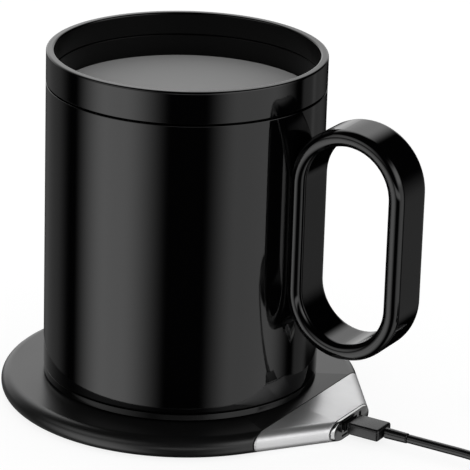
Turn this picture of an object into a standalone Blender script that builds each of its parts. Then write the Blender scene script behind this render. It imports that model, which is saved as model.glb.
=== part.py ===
"""Self heating mug with a drop-in lid, on its round charging coaster with the supply lead plugged in.

The mug's axis is +Z and the coaster stands on z = 0. +X runs along the handle and the coaster's tail,
so everything but the lead is alike on both sides of the plane y = 0.
"""

import math

import bmesh
import bpy
from mathutils import Matrix, Vector

MM = 0.001

# Fits and fineness
CLEARANCE = 0.3 * MM
CUT_OVERRUN = 2.0 * MM
WELD_DISTANCE = 0.01 * MM
FINE_STEPS = 48
MIDDLE_STEPS = 36
COARSE_STEPS = 28
SMALL_STEPS = 16
SMOOTH_ANGLE = math.radians(35.0)

# Coaster, outside
COASTER_RADIUS = 57.5 * MM
COASTER_HEIGHT = 7.2 * MM
EDGE_LAND = 0.2 * MM
EDGE_SEGMENTS = 4
INNER_SEGMENTS = 2
TAIL_STANDOUT = 6.3 * MM
TAIL_HALF_WIDTH = 11.0 * MM
SLEEVE_LENGTH = 16.2 * MM
END_FACE_THICKNESS = 0.8 * MM

# Coaster, walls and floor
COASTER_WALL = 1.1 * MM
FLOOR_INSET = 4.7 * MM
FLOOR_THICKNESS = 1.4 * MM
PAD_INSET = 7.0 * MM
PAD_THICKNESS = 0.6 * MM
PAD_STANDOUT = 0.3 * MM
COASTER_SCREW_INSET = 2.8 * MM
COASTER_SCREW_COUNT = 4
COASTER_SCREW_LENGTH = 4.0 * MM
COASTER_BOSS_RADIUS = 2.2 * MM
FLAT_HEAD_RADIUS = 1.6 * MM
FLAT_HEAD_HEIGHT = 0.5 * MM
FLAT_SHAFT_RADIUS = 0.7 * MM

# Coaster, electronics
TRANSMIT_COIL_RADII = (9.0 * MM, 22.0 * MM)
TRANSMIT_COIL_HEIGHT = 0.9 * MM
COASTER_FERRITE_RADIUS = 23.5 * MM
FERRITE_THICKNESS = 0.5 * MM
COASTER_BOARD_GAP = 1.0 * MM
COASTER_BOARD_LENGTH = 17.0 * MM
COASTER_BOARD_WIDTH = 40.0 * MM
COASTER_BOARD_THICKNESS = 0.8 * MM
INDUCTOR_RADIUS = 3.4 * MM
INDUCTOR_HEIGHT = 2.2 * MM
COASTER_CHIP_SIDE = 6.0 * MM
COASTER_CHIP_HEIGHT = 0.9 * MM
PART_FROM_BOARD_END = 8.0 * MM

# Socket in the tail
SOCKET_BLOCK_HALF_WIDTH = 8.4 * MM
SOCKET_TONGUE_HALF_WIDTH = 8.0 * MM
SOCKET_TONGUE_REACH = 3.7 * MM
SOCKET_DEPTH = 5.7 * MM
MOUTH_SIDE_MARGIN = 1.9 * MM
MOUTH_MARGIN = 0.9 * MM
MOUTH_DEPTH = 0.4 * MM
PIN_RADIUS = 0.4 * MM
PIN_SPREAD = 3.6 * MM
PIN_STANDOUT = 2.7 * MM
PIN_TAIL = 2.0 * MM

# Plug and its strain relief
INSERT_WIDTH = 7.6 * MM
INSERT_THICKNESS = 2.6 * MM
INSERT_EXPOSED = 0.5 * MM
PLUG_LENGTH = 11.3 * MM
PLUG_WIDTH = 8.9 * MM
PLUG_THICKNESS = 4.0 * MM
PLUG_EDGE = 0.9 * MM
RELIEF_LENGTH = 8.0 * MM
RELIEF_RADII = (1.75 * MM, 1.6 * MM)

# Mug, outside
MUG_RADIUS = 44.0 * MM
MUG_HEIGHT = 106.9 * MM
SHELL_THICKNESS = 1.2 * MM
RIM_WALL = 2.54 * MM
RIM_ROUNDING = 0.8 * MM
RIM_SEAM_DEPTH = 10.35 * MM
LINER_SEAM_DEPTH = 7.3 * MM
SEAM_WIDTH = 0.6 * MM
SEAM_ROUNDING = 0.25 * MM
BASE_SEAM_HEIGHT = 2.5 * MM
RING_TAPER = 0.4 * MM
BASE_ROUNDING = 0.3 * MM

# Cup inside the mug
LINER_THICKNESS = 0.8 * MM
CUP_DEPTH = 77.0 * MM
CUP_CORNER = 5.0 * MM
LEDGE_WIDTH = 1.06 * MM

# Lid
LID_DEPTH = 14.2 * MM
LID_THICKNESS = 2.0 * MM
LID_HUB_HEIGHT = 1.6 * MM
LID_HUB_INSET = 2.2 * MM
LID_EDGE = 0.3 * MM
SIP_LENGTH = 17.0 * MM
SIP_WIDTH = 8.5 * MM
SIP_INSET = 10.2 * MM
VENT_RADIUS = 1.1 * MM
VENT_ASIDE = 15.0 * MM
VENT_BEHIND_SIP = 8.0 * MM

# Handle
HANDLE_STANDOUT = 37.9 * MM
HANDLE_SINK = 1.7 * MM
HANDLE_HEIGHT = 74.4 * MM
HANDLE_ABOVE_FOOT = 19.9 * MM
STRAP_THICKNESS = 5.3 * MM
STRAP_WIDTH = 17.2 * MM
STRAP_EDGE = 2.2 * MM
HANDLE_ARC_STEPS = 14
HANDLE_SCREW_SPACING = 26.0 * MM
HANDLE_HEAD_RADIUS = 2.4 * MM
HANDLE_HEAD_HEIGHT = 0.8 * MM
HANDLE_SHAFT_RADIUS = 1.1 * MM
HANDLE_SCREW_LENGTH = 3.4 * MM

# Base of the mug
BASE_FLOOR_THICKNESS = 2.8 * MM
UPSTAND_WIDTH = 2.2 * MM
UPSTAND_HEIGHT = 5.6 * MM
GASKET_HEIGHT = 1.0 * MM
GASKET_WIDTH = 0.9 * MM
GASKET_ABOVE_FLOOR = 3.2 * MM
FOOT_INSET = 6.0 * MM
FOOT_WIDTH = 5.0 * MM
FOOT_THICKNESS = 0.8 * MM
FOOT_STANDOUT = 0.3 * MM
BASE_SCREW_COUNT = 3
BASE_SCREW_LENGTH = 7.5 * MM
BASE_HEAD_RADIUS = 2.0 * MM
BASE_HEAD_HEIGHT = 0.7 * MM
BASE_SHAFT_RADIUS = 1.0 * MM
BUTTON_RADIUS = 5.0 * MM
BUTTON_RECESS = 0.5 * MM
BUTTON_FLANGE_WIDTH = 1.2 * MM
BUTTON_FLANGE_THICKNESS = 0.5 * MM
BUTTON_TRAVEL = 0.5 * MM
DOME_RADIUS = 3.0 * MM
DOME_HEIGHT = 0.3 * MM

# Stack inside the mug's base
RECEIVE_COIL_RADII = (9.0 * MM, 22.0 * MM)
RECEIVE_COIL_HEIGHT = 0.8 * MM
RECEIVE_FERRITE_RADII = (7.0 * MM, 24.0 * MM)
CARRIER_WALL = 1.2 * MM
CARRIER_HEIGHT = 14.2 * MM
CARRIER_FLOOR = 1.0 * MM
BOSS_RADIUS = 3.0 * MM
BOSS_HEIGHT = 6.8 * MM
BATTERY_END_GAP = 12.8 * MM
BATTERY_SIDE_GAP = 20.8 * MM
BATTERY_HEIGHT = 11.0 * MM
BATTERY_EDGE = 2.5 * MM
BOARD_INSET = 0.6 * MM
BOARD_THICKNESS = 1.6 * MM
CONTROL_CHIP_SIZE = (8.0 * MM, 8.0 * MM, 1.1 * MM)
CONTROL_CHIP_INSET = 13.4 * MM
PLATE_INSET = 4.4 * MM
PLATE_THICKNESS = 1.6 * MM
FILM_INSET = 1.0 * MM
FILM_THICKNESS = 0.4 * MM
SENSOR_RADIUS = 1.5 * MM
SENSOR_OFFSET = 12.0 * MM

# Supply cord, its coil and the plug at its far end
CORD_RADIUS = 1.4 * MM
CORD_STEP = 6.5 * MM
CORD_ROUTE = (
    (84.2 * MM, 0.0, 3.75 * MM),
    (95.0 * MM, 0.0, 3.75 * MM),
    (106.0 * MM, 0.0, 3.65 * MM),
    (116.0 * MM, 0.3 * MM, 2.6 * MM),
    (126.0 * MM, 0.6 * MM, 1.65 * MM),
    (136.0 * MM, 0.5 * MM, 1.6 * MM),
    (146.0 * MM, 0.1 * MM, 2.3 * MM),
    (151.0 * MM, 0.0, 2.5 * MM),
    (156.9 * MM, 0.0, 2.5 * MM),
)
COIL_CENTRE_X = 160.0 * MM
COIL_INNER_RADIUS = 9.5 * MM
COIL_PITCH = 3.3 * MM
COIL_TURNS = 8.5
POINTS_PER_LOOP = 24
RUN_OUT_LEVEL = 9.0 * MM
RUN_OUT_LENGTH = 20.0 * MM
RUN_OUT_STEPS = 8
TIE_THICKNESS = 0.8 * MM
TIE_WIDTH = 6.0 * MM
USB_RELIEF_LENGTH = 9.0 * MM
USB_RELIEF_RADII = (1.8 * MM, 2.8 * MM)
USB_BODY_SIZE = (21.0 * MM, 15.6 * MM, 8.0 * MM)
USB_BODY_EDGE = 1.2 * MM
USB_SHELL_SIZE = (18.7 * MM, 12.0 * MM, 4.5 * MM)
USB_SHELL_WALL = 0.35 * MM
USB_MOUTH_DEPTH = 11.0 * MM
USB_TONGUE_THICKNESS = 1.8 * MM
ROUND_SEGMENTS = 3

# Heights and radii that follow from the sizes above
HOUSING_BOTTOM = PAD_STANDOUT
HOUSING_MIDDLE = (HOUSING_BOTTOM + COASTER_HEIGHT) / 2
EDGE_RADIUS = (COASTER_HEIGHT - HOUSING_BOTTOM - EDGE_LAND) / 2
CAVITY_TOP = COASTER_HEIGHT - COASTER_WALL
FLOOR_TOP = HOUSING_BOTTOM + FLOOR_THICKNESS
FLOOR_RADIUS = COASTER_RADIUS - FLOOR_INSET
PAD_RADIUS = FLOOR_RADIUS - PAD_INSET
COASTER_SCREW_CIRCLE = FLOOR_RADIUS - COASTER_SCREW_INSET
TAIL_REACH = COASTER_RADIUS + TAIL_STANDOUT
SLEEVE_START = TAIL_REACH - SLEEVE_LENGTH
SOCKET_TONGUE_START = SLEEVE_START - SOCKET_TONGUE_REACH
COASTER_BOARD_START = SOCKET_TONGUE_START - COASTER_BOARD_GAP - COASTER_BOARD_LENGTH
PART_OFFSET = COASTER_BOARD_WIDTH / 2 - PART_FROM_BOARD_END
TAIL_CORNER = math.hypot(TAIL_REACH, TAIL_HALF_WIDTH)
TAIL_ANGLE = math.atan2(TAIL_HALF_WIDTH, TAIL_REACH) + math.acos(COASTER_RADIUS / TAIL_CORNER)
END_FACE_START = TAIL_REACH - END_FACE_THICKNESS
PLUG_START = TAIL_REACH + INSERT_EXPOSED
PLUG_END = PLUG_START + PLUG_LENGTH

MUG_FOOT = COASTER_HEIGHT + CLEARANCE
RIM_TOP = MUG_FOOT + MUG_HEIGHT
INNER_RADIUS = MUG_RADIUS - RIM_WALL
SHELL_INNER = MUG_RADIUS - SHELL_THICKNESS
SHELL_TOP = RIM_TOP - RIM_SEAM_DEPTH - SEAM_WIDTH / 2
SHELL_BOTTOM = MUG_FOOT + BASE_SEAM_HEIGHT + SEAM_WIDTH / 2
LINER_TOP = RIM_TOP - LINER_SEAM_DEPTH - CLEARANCE / 2
LINER_OUTER = INNER_RADIUS + LINER_THICKNESS
CUP_RADIUS = INNER_RADIUS - LEDGE_WIDTH
CUP_OUTER = CUP_RADIUS + LINER_THICKNESS
CUP_FLOOR = RIM_TOP - CUP_DEPTH
CUP_UNDERSIDE = CUP_FLOOR - LINER_THICKNESS
LID_TOP = RIM_TOP - LID_DEPTH
LID_RADIUS = INNER_RADIUS - CLEARANCE
LID_BOTTOM = LID_TOP - LID_THICKNESS - LID_HUB_HEIGHT
SIP_OFFSET = LID_RADIUS - SIP_INSET
LEDGE_HEIGHT = LID_BOTTOM - CLEARANCE
BASE_BOTTOM = MUG_FOOT + FOOT_STANDOUT
BASE_FLOOR = BASE_BOTTOM + BASE_FLOOR_THICKNESS
BASE_RING_TOP = MUG_FOOT + BASE_SEAM_HEIGHT - SEAM_WIDTH / 2
UPSTAND_OUTER = SHELL_INNER - CLEARANCE
UPSTAND_INNER = UPSTAND_OUTER - UPSTAND_WIDTH
FOOT_OUTER = MUG_RADIUS - FOOT_INSET
FOOT_INNER = FOOT_OUTER - FOOT_WIDTH
FOOT_CEILING = MUG_FOOT + FOOT_THICKNESS + CLEARANCE
BASE_SCREW_CIRCLE = (FOOT_INNER + FOOT_OUTER) / 2
COIL_BOTTOM = BASE_FLOOR + CLEARANCE
FERRITE_BOTTOM = COIL_BOTTOM + RECEIVE_COIL_HEIGHT + CLEARANCE
CARRIER_BOTTOM = FERRITE_BOTTOM + FERRITE_THICKNESS + CLEARANCE
CARRIER_TOP = CARRIER_BOTTOM + CARRIER_HEIGHT
CARRIER_RADIUS = UPSTAND_INNER - CLEARANCE
CARRIER_INNER = CARRIER_RADIUS - CARRIER_WALL
BOARD_BOTTOM = CARRIER_TOP + CLEARANCE
BOARD_TOP = BOARD_BOTTOM + BOARD_THICKNESS
BOARD_RADIUS = CARRIER_RADIUS - BOARD_INSET
FILM_TOP = CUP_UNDERSIDE - CLEARANCE
PLATE_TOP = FILM_TOP - FILM_THICKNESS - CLEARANCE
PLATE_BOTTOM = PLATE_TOP - PLATE_THICKNESS
PLATE_RADIUS = CUP_RADIUS - PLATE_INSET
FILM_RADIUS = PLATE_RADIUS - FILM_INSET
HANDLE_REACH = MUG_RADIUS + HANDLE_STANDOUT
HANDLE_DEPTH = HANDLE_STANDOUT + HANDLE_SINK
HANDLE_LOW = MUG_FOOT + HANDLE_ABOVE_FOOT
HANDLE_MIDDLE = HANDLE_LOW + HANDLE_HEIGHT / 2

CORD_DIAMETER = 2 * CORD_RADIUS
COIL_LAYER_ONE = TIE_THICKNESS + CLEARANCE + CORD_RADIUS
COIL_REVERSAL = COIL_TURNS / 2
COIL_OUTER_RADIUS = COIL_INNER_RADIUS + COIL_PITCH * COIL_REVERSAL
COIL_CENTRE = Vector((COIL_CENTRE_X, COIL_OUTER_RADIUS, 0.0))
USB_AXIS_HEIGHT = USB_BODY_SIZE[2] / 2

parts = None
cutters = None


def new_collections():
    """Empty scene, one collection for the part and one for its cutters."""
    global parts, cutters
    for item in list(bpy.data.objects):
        bpy.data.objects.remove(item, do_unlink=True)
    parts = bpy.data.collections.new("self_heating_mug")
    cutters = bpy.data.collections.new("cutters")
    bpy.context.scene.collection.children.link(parts)
    bpy.context.scene.collection.children.link(cutters)


def material(name, color, roughness, metallic=0.0):
    """Principled material with the piece's own colour."""
    made = bpy.data.materials.new(name)
    made.use_nodes = True
    shader = made.node_tree.nodes["Principled BSDF"]
    shader.inputs["Base Color"].default_value = (*color, 1.0)
    shader.inputs["Roughness"].default_value = roughness
    shader.inputs["Metallic"].default_value = metallic
    made.diffuse_color = (*color, 1.0)
    return made


def add(name, mesh, look=None, place=(0.0, 0.0, 0.0)):
    """Object for a mesh or curve, in the part's collection."""
    made = bpy.data.objects.new(name, mesh)
    made.location = place
    parts.objects.link(made)
    if look:
        made.data.materials.append(look)
    return made


def as_cutter(item):
    """Move an object to the cutters, shown as wire and never rendered."""
    parts.objects.unlink(item)
    cutters.objects.link(item)
    item.hide_render = True
    item.display_type = 'WIRE'
    return item


def boolean(target, other, operation):
    """Boolean of a target with a cutter or a tool body."""
    step = target.modifiers.new(operation.lower(), 'BOOLEAN')
    step.operation = operation
    step.solver = 'EXACT'
    step.object = as_cutter(other)


def smooth(mesh):
    """Smooth shading with its sharp edges kept."""
    mesh.shade_smooth()
    mesh.set_sharp_from_angle(angle=SMOOTH_ANGLE)


def fillet(points, radii, segments=ROUND_SEGMENTS):
    """Outline with an arc at each corner that has a radius."""
    result = []
    count = len(points)
    for index, (point, radius) in enumerate(zip(points, radii)):
        corner = Vector(point)
        if radius == 0:
            result.append(tuple(corner))
            continue
        before = (Vector(points[index - 1]) - corner).normalized()
        after = (Vector(points[(index + 1) % count]) - corner).normalized()
        half = before.angle(after) / 2
        centre = corner + (before + after).normalized() * radius / math.sin(half)
        start = corner + before * radius / math.tan(half) - centre
        end = corner + after * radius / math.tan(half) - centre
        first = math.atan2(start.y, start.x)
        turn = math.remainder(math.atan2(end.y, end.x) - first, math.tau)
        for step in range(segments + 1):
            angle = first + turn * step / segments
            result.append((centre.x + radius * math.cos(angle), centre.y + radius * math.sin(angle)))
    return result


def turned(name, profile, look=None, steps=FINE_STEPS, ring=True, place=(0.0, 0.0, 0.0)):
    """Turned body: a profile that runs down its outer side, with a Screw modifier."""
    mesh = bpy.data.meshes.new(name)
    edges = [(index, index + 1) for index in range(len(profile) - 1)]
    if ring:
        edges.append((len(profile) - 1, 0))
    mesh.from_pydata([(radius, 0.0, height) for radius, height in profile], edges, [])
    made = add(name, mesh, look, place)
    screw = made.modifiers.new("turn", 'SCREW')
    screw.steps = steps
    screw.render_steps = steps
    screw.use_merge_vertices = True
    screw.merge_threshold = WELD_DISTANCE
    screw.use_smooth_shade = True
    return made


def disc(name, radius, bottom, top, look=None, steps=COARSE_STEPS):
    """Solid round plate on the axis."""
    return turned(name, [(0.0, top), (radius, top), (radius, bottom), (0.0, bottom)], look, steps, ring=False)


def ring(name, radii, bottom, top, look=None, steps=COARSE_STEPS):
    """Flat ring on the axis."""
    inner, outer = radii
    return turned(name, [(inner, bottom), (inner, top), (outer, top), (outer, bottom)], look, steps)


def box(name, low, high, look=None, edge=0.0):
    """Box between two corners, with rounded edges if an edge radius is given."""
    low = Vector(low)
    high = Vector(high)
    shape = bmesh.new()
    bmesh.ops.create_cube(shape, size=1)
    bmesh.ops.scale(shape, vec=high - low, verts=shape.verts)
    mesh = bpy.data.meshes.new(name)
    shape.to_mesh(mesh)
    shape.free()
    made = add(name, mesh, look, (low + high) / 2)
    if edge:
        bevel = made.modifiers.new("edges", 'BEVEL')
        bevel.width = edge
        bevel.segments = ROUND_SEGMENTS
    return made


def cylinder(name, radius, start, end, look=None, steps=SMALL_STEPS):
    """Round bar between two points."""
    start = Vector(start)
    end = Vector(end)
    shape = bmesh.new()
    bmesh.ops.create_cone(shape, cap_ends=True, segments=steps, radius1=radius, radius2=radius,
                          depth=(end - start).length)
    mesh = bpy.data.meshes.new(name)
    shape.to_mesh(mesh)
    shape.free()
    smooth(mesh)
    made = add(name, mesh, look, (start + end) / 2)
    made.rotation_euler = (end - start).to_track_quat('Z', 'Y').to_euler()
    return made


def curve_to_mesh(source, look=None):
    """Mesh object in place of a curve, with its caps welded on."""
    bpy.context.view_layer.update()
    evaluated = source.evaluated_get(bpy.context.evaluated_depsgraph_get())
    mesh = bpy.data.meshes.new_from_object(evaluated)
    shape = bmesh.new()
    shape.from_mesh(mesh)
    bmesh.ops.remove_doubles(shape, verts=shape.verts, dist=WELD_DISTANCE)
    bmesh.ops.recalc_face_normals(shape, faces=shape.faces)
    shape.to_mesh(mesh)
    shape.free()
    made = add(source.name, mesh, look)
    made.matrix_world = source.matrix_world
    name = source.name
    bpy.data.objects.remove(source)
    made.name = name
    mesh.name = name
    return made


def plate(name, outlines, bottom, top, look=None, edge=0.0):
    """Flat outline, with holes if more than one is given, as a 2D curve with an extrude."""
    curve = bpy.data.curves.new(name, 'CURVE')
    curve.dimensions = '2D'
    curve.fill_mode = 'BOTH'
    curve.extrude = (top - bottom) / 2 - edge
    curve.bevel_depth = edge
    curve.bevel_resolution = 1
    curve.offset = -edge
    for outline in outlines:
        spline = curve.splines.new('POLY')
        spline.points.add(len(outline) - 1)
        for point, (x, y) in zip(spline.points, outline):
            point.co = (x, y, 0.0, 1.0)
        spline.use_cyclic_u = True
    return curve_to_mesh(add(name, curve, None, (0.0, 0.0, (bottom + top) / 2)), look)


def merge_flat_faces(item):
    """Turn a triangulated cap into one face, so that a Bevel runs cleanly round it."""
    shape = bmesh.new()
    shape.from_mesh(item.data)
    bmesh.ops.dissolve_limit(shape, angle_limit=math.radians(1.0), verts=shape.verts, edges=shape.edges)
    shape.to_mesh(item.data)
    shape.free()


def group(source, turns):
    """Separate copies of one shape in one object, each placed by its own matrix."""
    bpy.context.view_layer.update()
    evaluated = source.evaluated_get(bpy.context.evaluated_depsgraph_get())
    single = bpy.data.meshes.new_from_object(evaluated)
    shape = bmesh.new()
    for turn in turns:
        copy = single.copy()
        copy.transform(turn)
        shape.from_mesh(copy)
        bpy.data.meshes.remove(copy)
    for step in list(source.modifiers):
        source.modifiers.remove(step)
    shape.to_mesh(source.data)
    shape.free()
    source.matrix_world = Matrix.Identity(4)
    bpy.data.meshes.remove(single)
    return source


def copies(source, turns):
    """Separate numbered objects that share one shape, each placed by its own matrix."""
    for index, turn in enumerate(turns, 1):
        copy = source.copy()
        copy.name = f"{source.name}_{index}"
        copy.matrix_world = turn
        parts.objects.link(copy)
    bpy.data.objects.remove(source)


def screw_body(name, head_radius, head_height, shaft_radius, length, look=None, grow=0.0):
    """Screw with its head's outer face at z = 0 and its shaft up +Z; grown, it cuts its own hole."""
    below = CUT_OVERRUN if grow else 0.0
    profile = [
        (0.0, length + grow),
        (shaft_radius + grow, length + grow),
        (shaft_radius + grow, head_height + grow),
        (head_radius + grow, head_height + grow),
        (head_radius + grow, -below),
        (0.0, -below),
    ]
    return turned(name, profile, look, SMALL_STEPS, ring=False)


def round_the_axis(count, radius, height, first=0.0):
    """Matrices that place something at even steps on a circle."""
    turns = []
    for index in range(count):
        angle = first + math.tau * index / count
        turns.append(Matrix.Translation((radius * math.cos(angle), radius * math.sin(angle), height)))
    return turns


# Coaster

def coaster_outline(radius):
    """Plan of the coaster: a circle with two tangents that run towards the tail."""
    points = []
    sweep = math.tau - 2 * TAIL_ANGLE
    steps = round(FINE_STEPS * sweep / math.tau)
    for step in range(steps + 1):
        angle = TAIL_ANGLE + sweep * step / steps
        points.append((radius * math.cos(angle), radius * math.sin(angle)))
    points.append((radius / math.cos(TAIL_ANGLE), 0.0))
    return points


def coaster_form(name, inset, look=None):
    """The coaster's rounded body, or its like set in by a wall."""
    made = plate(name, [coaster_outline(COASTER_RADIUS - inset)], HOUSING_BOTTOM + inset,
                 COASTER_HEIGHT - inset, look)
    merge_flat_faces(made)
    bevel = made.modifiers.new("round edge", 'BEVEL')
    bevel.width = EDGE_RADIUS - inset
    bevel.segments = INNER_SEGMENTS if inset else EDGE_SEGMENTS
    bevel.limit_method = 'ANGLE'
    bevel.angle_limit = math.radians(80.0)
    bevel.use_clamp_overlap = False
    return made


def along_tail(name, start, end):
    """Box that spans the coaster between two places along the tail."""
    side = COASTER_RADIUS + CUT_OVERRUN
    return box(name, (start, -side, -CUT_OVERRUN), (end, side, COASTER_HEIGHT + CUT_OVERRUN))


def past_tail():
    """X beyond anything on the coaster."""
    return COASTER_RADIUS / math.cos(TAIL_ANGLE) + CUT_OVERRUN


def coaster_screw(name, look=None, grow=0.0):
    """The coaster's screws, or the holes for them."""
    source = screw_body(name, FLAT_HEAD_RADIUS, FLAT_HEAD_HEIGHT, FLAT_SHAFT_RADIUS,
                        COASTER_SCREW_LENGTH, look, grow)
    place = group if grow else copies
    first = math.pi / COASTER_SCREW_COUNT
    return place(source, round_the_axis(COASTER_SCREW_COUNT, COASTER_SCREW_CIRCLE, HOUSING_BOTTOM, first))


def make_coaster_housing(look):
    """Black upper shell with its full-round edge, open below and towards the tail."""
    housing = coaster_form("coaster_housing", 0.0, look)
    boolean(housing, along_tail("housing_end", SLEEVE_START - CLEARANCE, past_tail()), 'DIFFERENCE')
    boolean(housing, coaster_form("housing_cavity", COASTER_WALL), 'DIFFERENCE')
    opening = plate("housing_floor_opening", [coaster_outline(FLOOR_RADIUS + CLEARANCE)],
                    -CUT_OVERRUN, HOUSING_MIDDLE)
    boolean(housing, opening, 'DIFFERENCE')
    boss = cylinder("housing_bosses", COASTER_BOSS_RADIUS, (0.0, 0.0, FLOOR_TOP + CLEARANCE),
                    (0.0, 0.0, CAVITY_TOP + COASTER_WALL / 2))
    centre = boss.location.z
    places = round_the_axis(COASTER_SCREW_COUNT, COASTER_SCREW_CIRCLE, centre, math.pi / COASTER_SCREW_COUNT)
    boolean(housing, group(boss, places), 'UNION')
    boolean(housing, coaster_screw("housing_screw_holes", grow=CLEARANCE), 'DIFFERENCE')
    return housing


def make_coaster_base(look):
    """Floor plate that closes the coaster from below, with a recess for the pad."""
    base = plate("coaster_base", [coaster_outline(FLOOR_RADIUS)], HOUSING_BOTTOM, FLOOR_TOP, look)
    boolean(base, along_tail("base_end", SLEEVE_START - CLEARANCE, past_tail()), 'DIFFERENCE')
    recess = disc("pad_recess", PAD_RADIUS + CLEARANCE, -CUT_OVERRUN, PAD_THICKNESS + CLEARANCE,
                  steps=MIDDLE_STEPS)
    boolean(base, recess, 'DIFFERENCE')
    boolean(base, coaster_screw("base_screw_holes", grow=CLEARANCE), 'DIFFERENCE')
    return base


def make_tail_sleeve(look):
    """Metal sleeve round the tail."""
    sleeve = coaster_form("tail_sleeve", 0.0, look)
    boolean(sleeve, along_tail("sleeve_length", SLEEVE_START, END_FACE_START - CLEARANCE), 'INTERSECT')
    boolean(sleeve, coaster_form("sleeve_bore", COASTER_WALL), 'DIFFERENCE')
    return sleeve


def make_socket_block(look):
    """Moulding that fills the tail, closes its end and holds the socket."""
    block = coaster_form("socket_block", 0.0, look)
    boolean(block, along_tail("end_face", END_FACE_START, TAIL_REACH), 'INTERSECT')
    half_height = (CAVITY_TOP - HOUSING_MIDDLE) - CLEARANCE
    body = box("socket_body",
               (SLEEVE_START + CLEARANCE, -SOCKET_BLOCK_HALF_WIDTH, HOUSING_MIDDLE - half_height),
               (END_FACE_START + END_FACE_THICKNESS / 2, SOCKET_BLOCK_HALF_WIDTH,
                HOUSING_MIDDLE + half_height))
    boolean(block, body, 'UNION')
    tongue_half_height = HOUSING_MIDDLE - FLOOR_TOP - CLEARANCE
    tongue = box("socket_tongue",
                 (SOCKET_TONGUE_START, -SOCKET_TONGUE_HALF_WIDTH, HOUSING_MIDDLE - tongue_half_height),
                 (SLEEVE_START + CUT_OVERRUN, SOCKET_TONGUE_HALF_WIDTH,
                  HOUSING_MIDDLE + tongue_half_height))
    boolean(block, tongue, 'UNION')
    half_width = INSERT_WIDTH / 2 + CLEARANCE
    half_gap = INSERT_THICKNESS / 2 + CLEARANCE
    socket = box("socket", (TAIL_REACH - SOCKET_DEPTH, -half_width, HOUSING_MIDDLE - half_gap),
                 (TAIL_REACH + CUT_OVERRUN, half_width, HOUSING_MIDDLE + half_gap))
    boolean(block, socket, 'DIFFERENCE')
    half_width += MOUTH_SIDE_MARGIN
    half_gap += MOUTH_MARGIN
    mouth = box("socket_mouth", (TAIL_REACH - MOUTH_DEPTH, -half_width, HOUSING_MIDDLE - half_gap),
                (TAIL_REACH + CUT_OVERRUN, half_width, HOUSING_MIDDLE + half_gap))
    boolean(block, mouth, 'DIFFERENCE')
    holes = pin_pair("pin_holes", PIN_RADIUS + CLEARANCE, SOCKET_TONGUE_START - CUT_OVERRUN,
                     TAIL_REACH - SOCKET_DEPTH + CUT_OVERRUN)
    boolean(block, holes, 'DIFFERENCE')
    return block


def pin_pair(name, radius, start, end, look=None):
    """Two bars along the tail, one on each side of its middle."""
    bar = cylinder(name, radius, (start, 0.0, HOUSING_MIDDLE), (end, 0.0, HOUSING_MIDDLE), look)
    bpy.context.view_layer.update()
    placed = bar.matrix_world
    shifts = [Matrix.Translation((0.0, side * PIN_SPREAD / 2, 0.0)) @ placed for side in (-1, 1)]
    place = copies if look else group
    return place(bar, shifts)


def make_coaster_electronics(looks):
    """Transmitting coil, its ferrite, and the driver board beside it."""
    coil_bottom = CAVITY_TOP - CLEARANCE - TRANSMIT_COIL_HEIGHT
    ring("transmit_coil", TRANSMIT_COIL_RADII, coil_bottom, CAVITY_TOP - CLEARANCE, looks["copper"])
    ferrite_top = coil_bottom - CLEARANCE
    disc("coaster_ferrite", COASTER_FERRITE_RADIUS, ferrite_top - FERRITE_THICKNESS, ferrite_top,
         looks["ferrite"])
    board_bottom = FLOOR_TOP + CLEARANCE
    board_top = board_bottom + COASTER_BOARD_THICKNESS
    board_end = COASTER_BOARD_START + COASTER_BOARD_LENGTH
    box("coaster_board", (COASTER_BOARD_START, -COASTER_BOARD_WIDTH / 2, board_bottom),
        (board_end, COASTER_BOARD_WIDTH / 2, board_top), looks["board"])
    middle = (COASTER_BOARD_START + board_end) / 2
    part_bottom = board_top + CLEARANCE
    cylinder("coaster_inductor", INDUCTOR_RADIUS, (middle, PART_OFFSET, part_bottom),
             (middle, PART_OFFSET, part_bottom + INDUCTOR_HEIGHT), looks["ferrite"])
    half = COASTER_CHIP_SIDE / 2
    box("coaster_chip", (middle - half, -PART_OFFSET - half, part_bottom),
        (middle + half, -PART_OFFSET + half, part_bottom + COASTER_CHIP_HEIGHT), looks["chip"])
    pin_pair("socket_pin", PIN_RADIUS, SOCKET_TONGUE_START - PIN_TAIL,
             TAIL_REACH - SOCKET_DEPTH + PIN_STANDOUT, looks["brass"])


def make_coaster(looks):
    """Everything of the coaster, which stays where it stands."""
    disc("coaster_pad", PAD_RADIUS, 0.0, PAD_THICKNESS, looks["silicone"], MIDDLE_STEPS)
    make_coaster_base(looks["matte_black"])
    make_coaster_housing(looks["base_black"])
    make_tail_sleeve(looks["silver"])
    make_socket_block(looks["end_face"])
    coaster_screw("coaster_screw", looks["steel"])
    make_coaster_electronics(looks)


# Mug

def make_outer_shell(look):
    """Plain cylinder between the two seam lines, with holes for the handle's screws."""
    profile = fillet(
        [(SHELL_INNER, SHELL_BOTTOM), (SHELL_INNER, SHELL_TOP), (MUG_RADIUS, SHELL_TOP),
         (MUG_RADIUS, SHELL_BOTTOM)],
        [0.0, 0.0, SEAM_ROUNDING, SEAM_ROUNDING], 1)
    shell = turned("outer_shell", profile, look)
    boolean(shell, handle_screw("shell_screw_holes", grow=CLEARANCE), 'DIFFERENCE')
    return shell


def make_rim_collar(look):
    """Band above the upper seam line, with the flat rim and the short inner skirt."""
    inner_bottom = RIM_TOP - LINER_SEAM_DEPTH + CLEARANCE / 2
    outer_bottom = RIM_TOP - RIM_SEAM_DEPTH + SEAM_WIDTH / 2
    skirt_inner = LINER_OUTER + CLEARANCE
    profile = fillet(
        [(INNER_RADIUS, inner_bottom), (INNER_RADIUS, RIM_TOP), (MUG_RADIUS, RIM_TOP),
         (MUG_RADIUS, outer_bottom), (skirt_inner, outer_bottom), (skirt_inner, inner_bottom)],
        [0.0, RIM_ROUNDING, RIM_ROUNDING, SEAM_ROUNDING, 0.0, 0.0], 2)
    return turned("rim_collar", profile, look)


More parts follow.
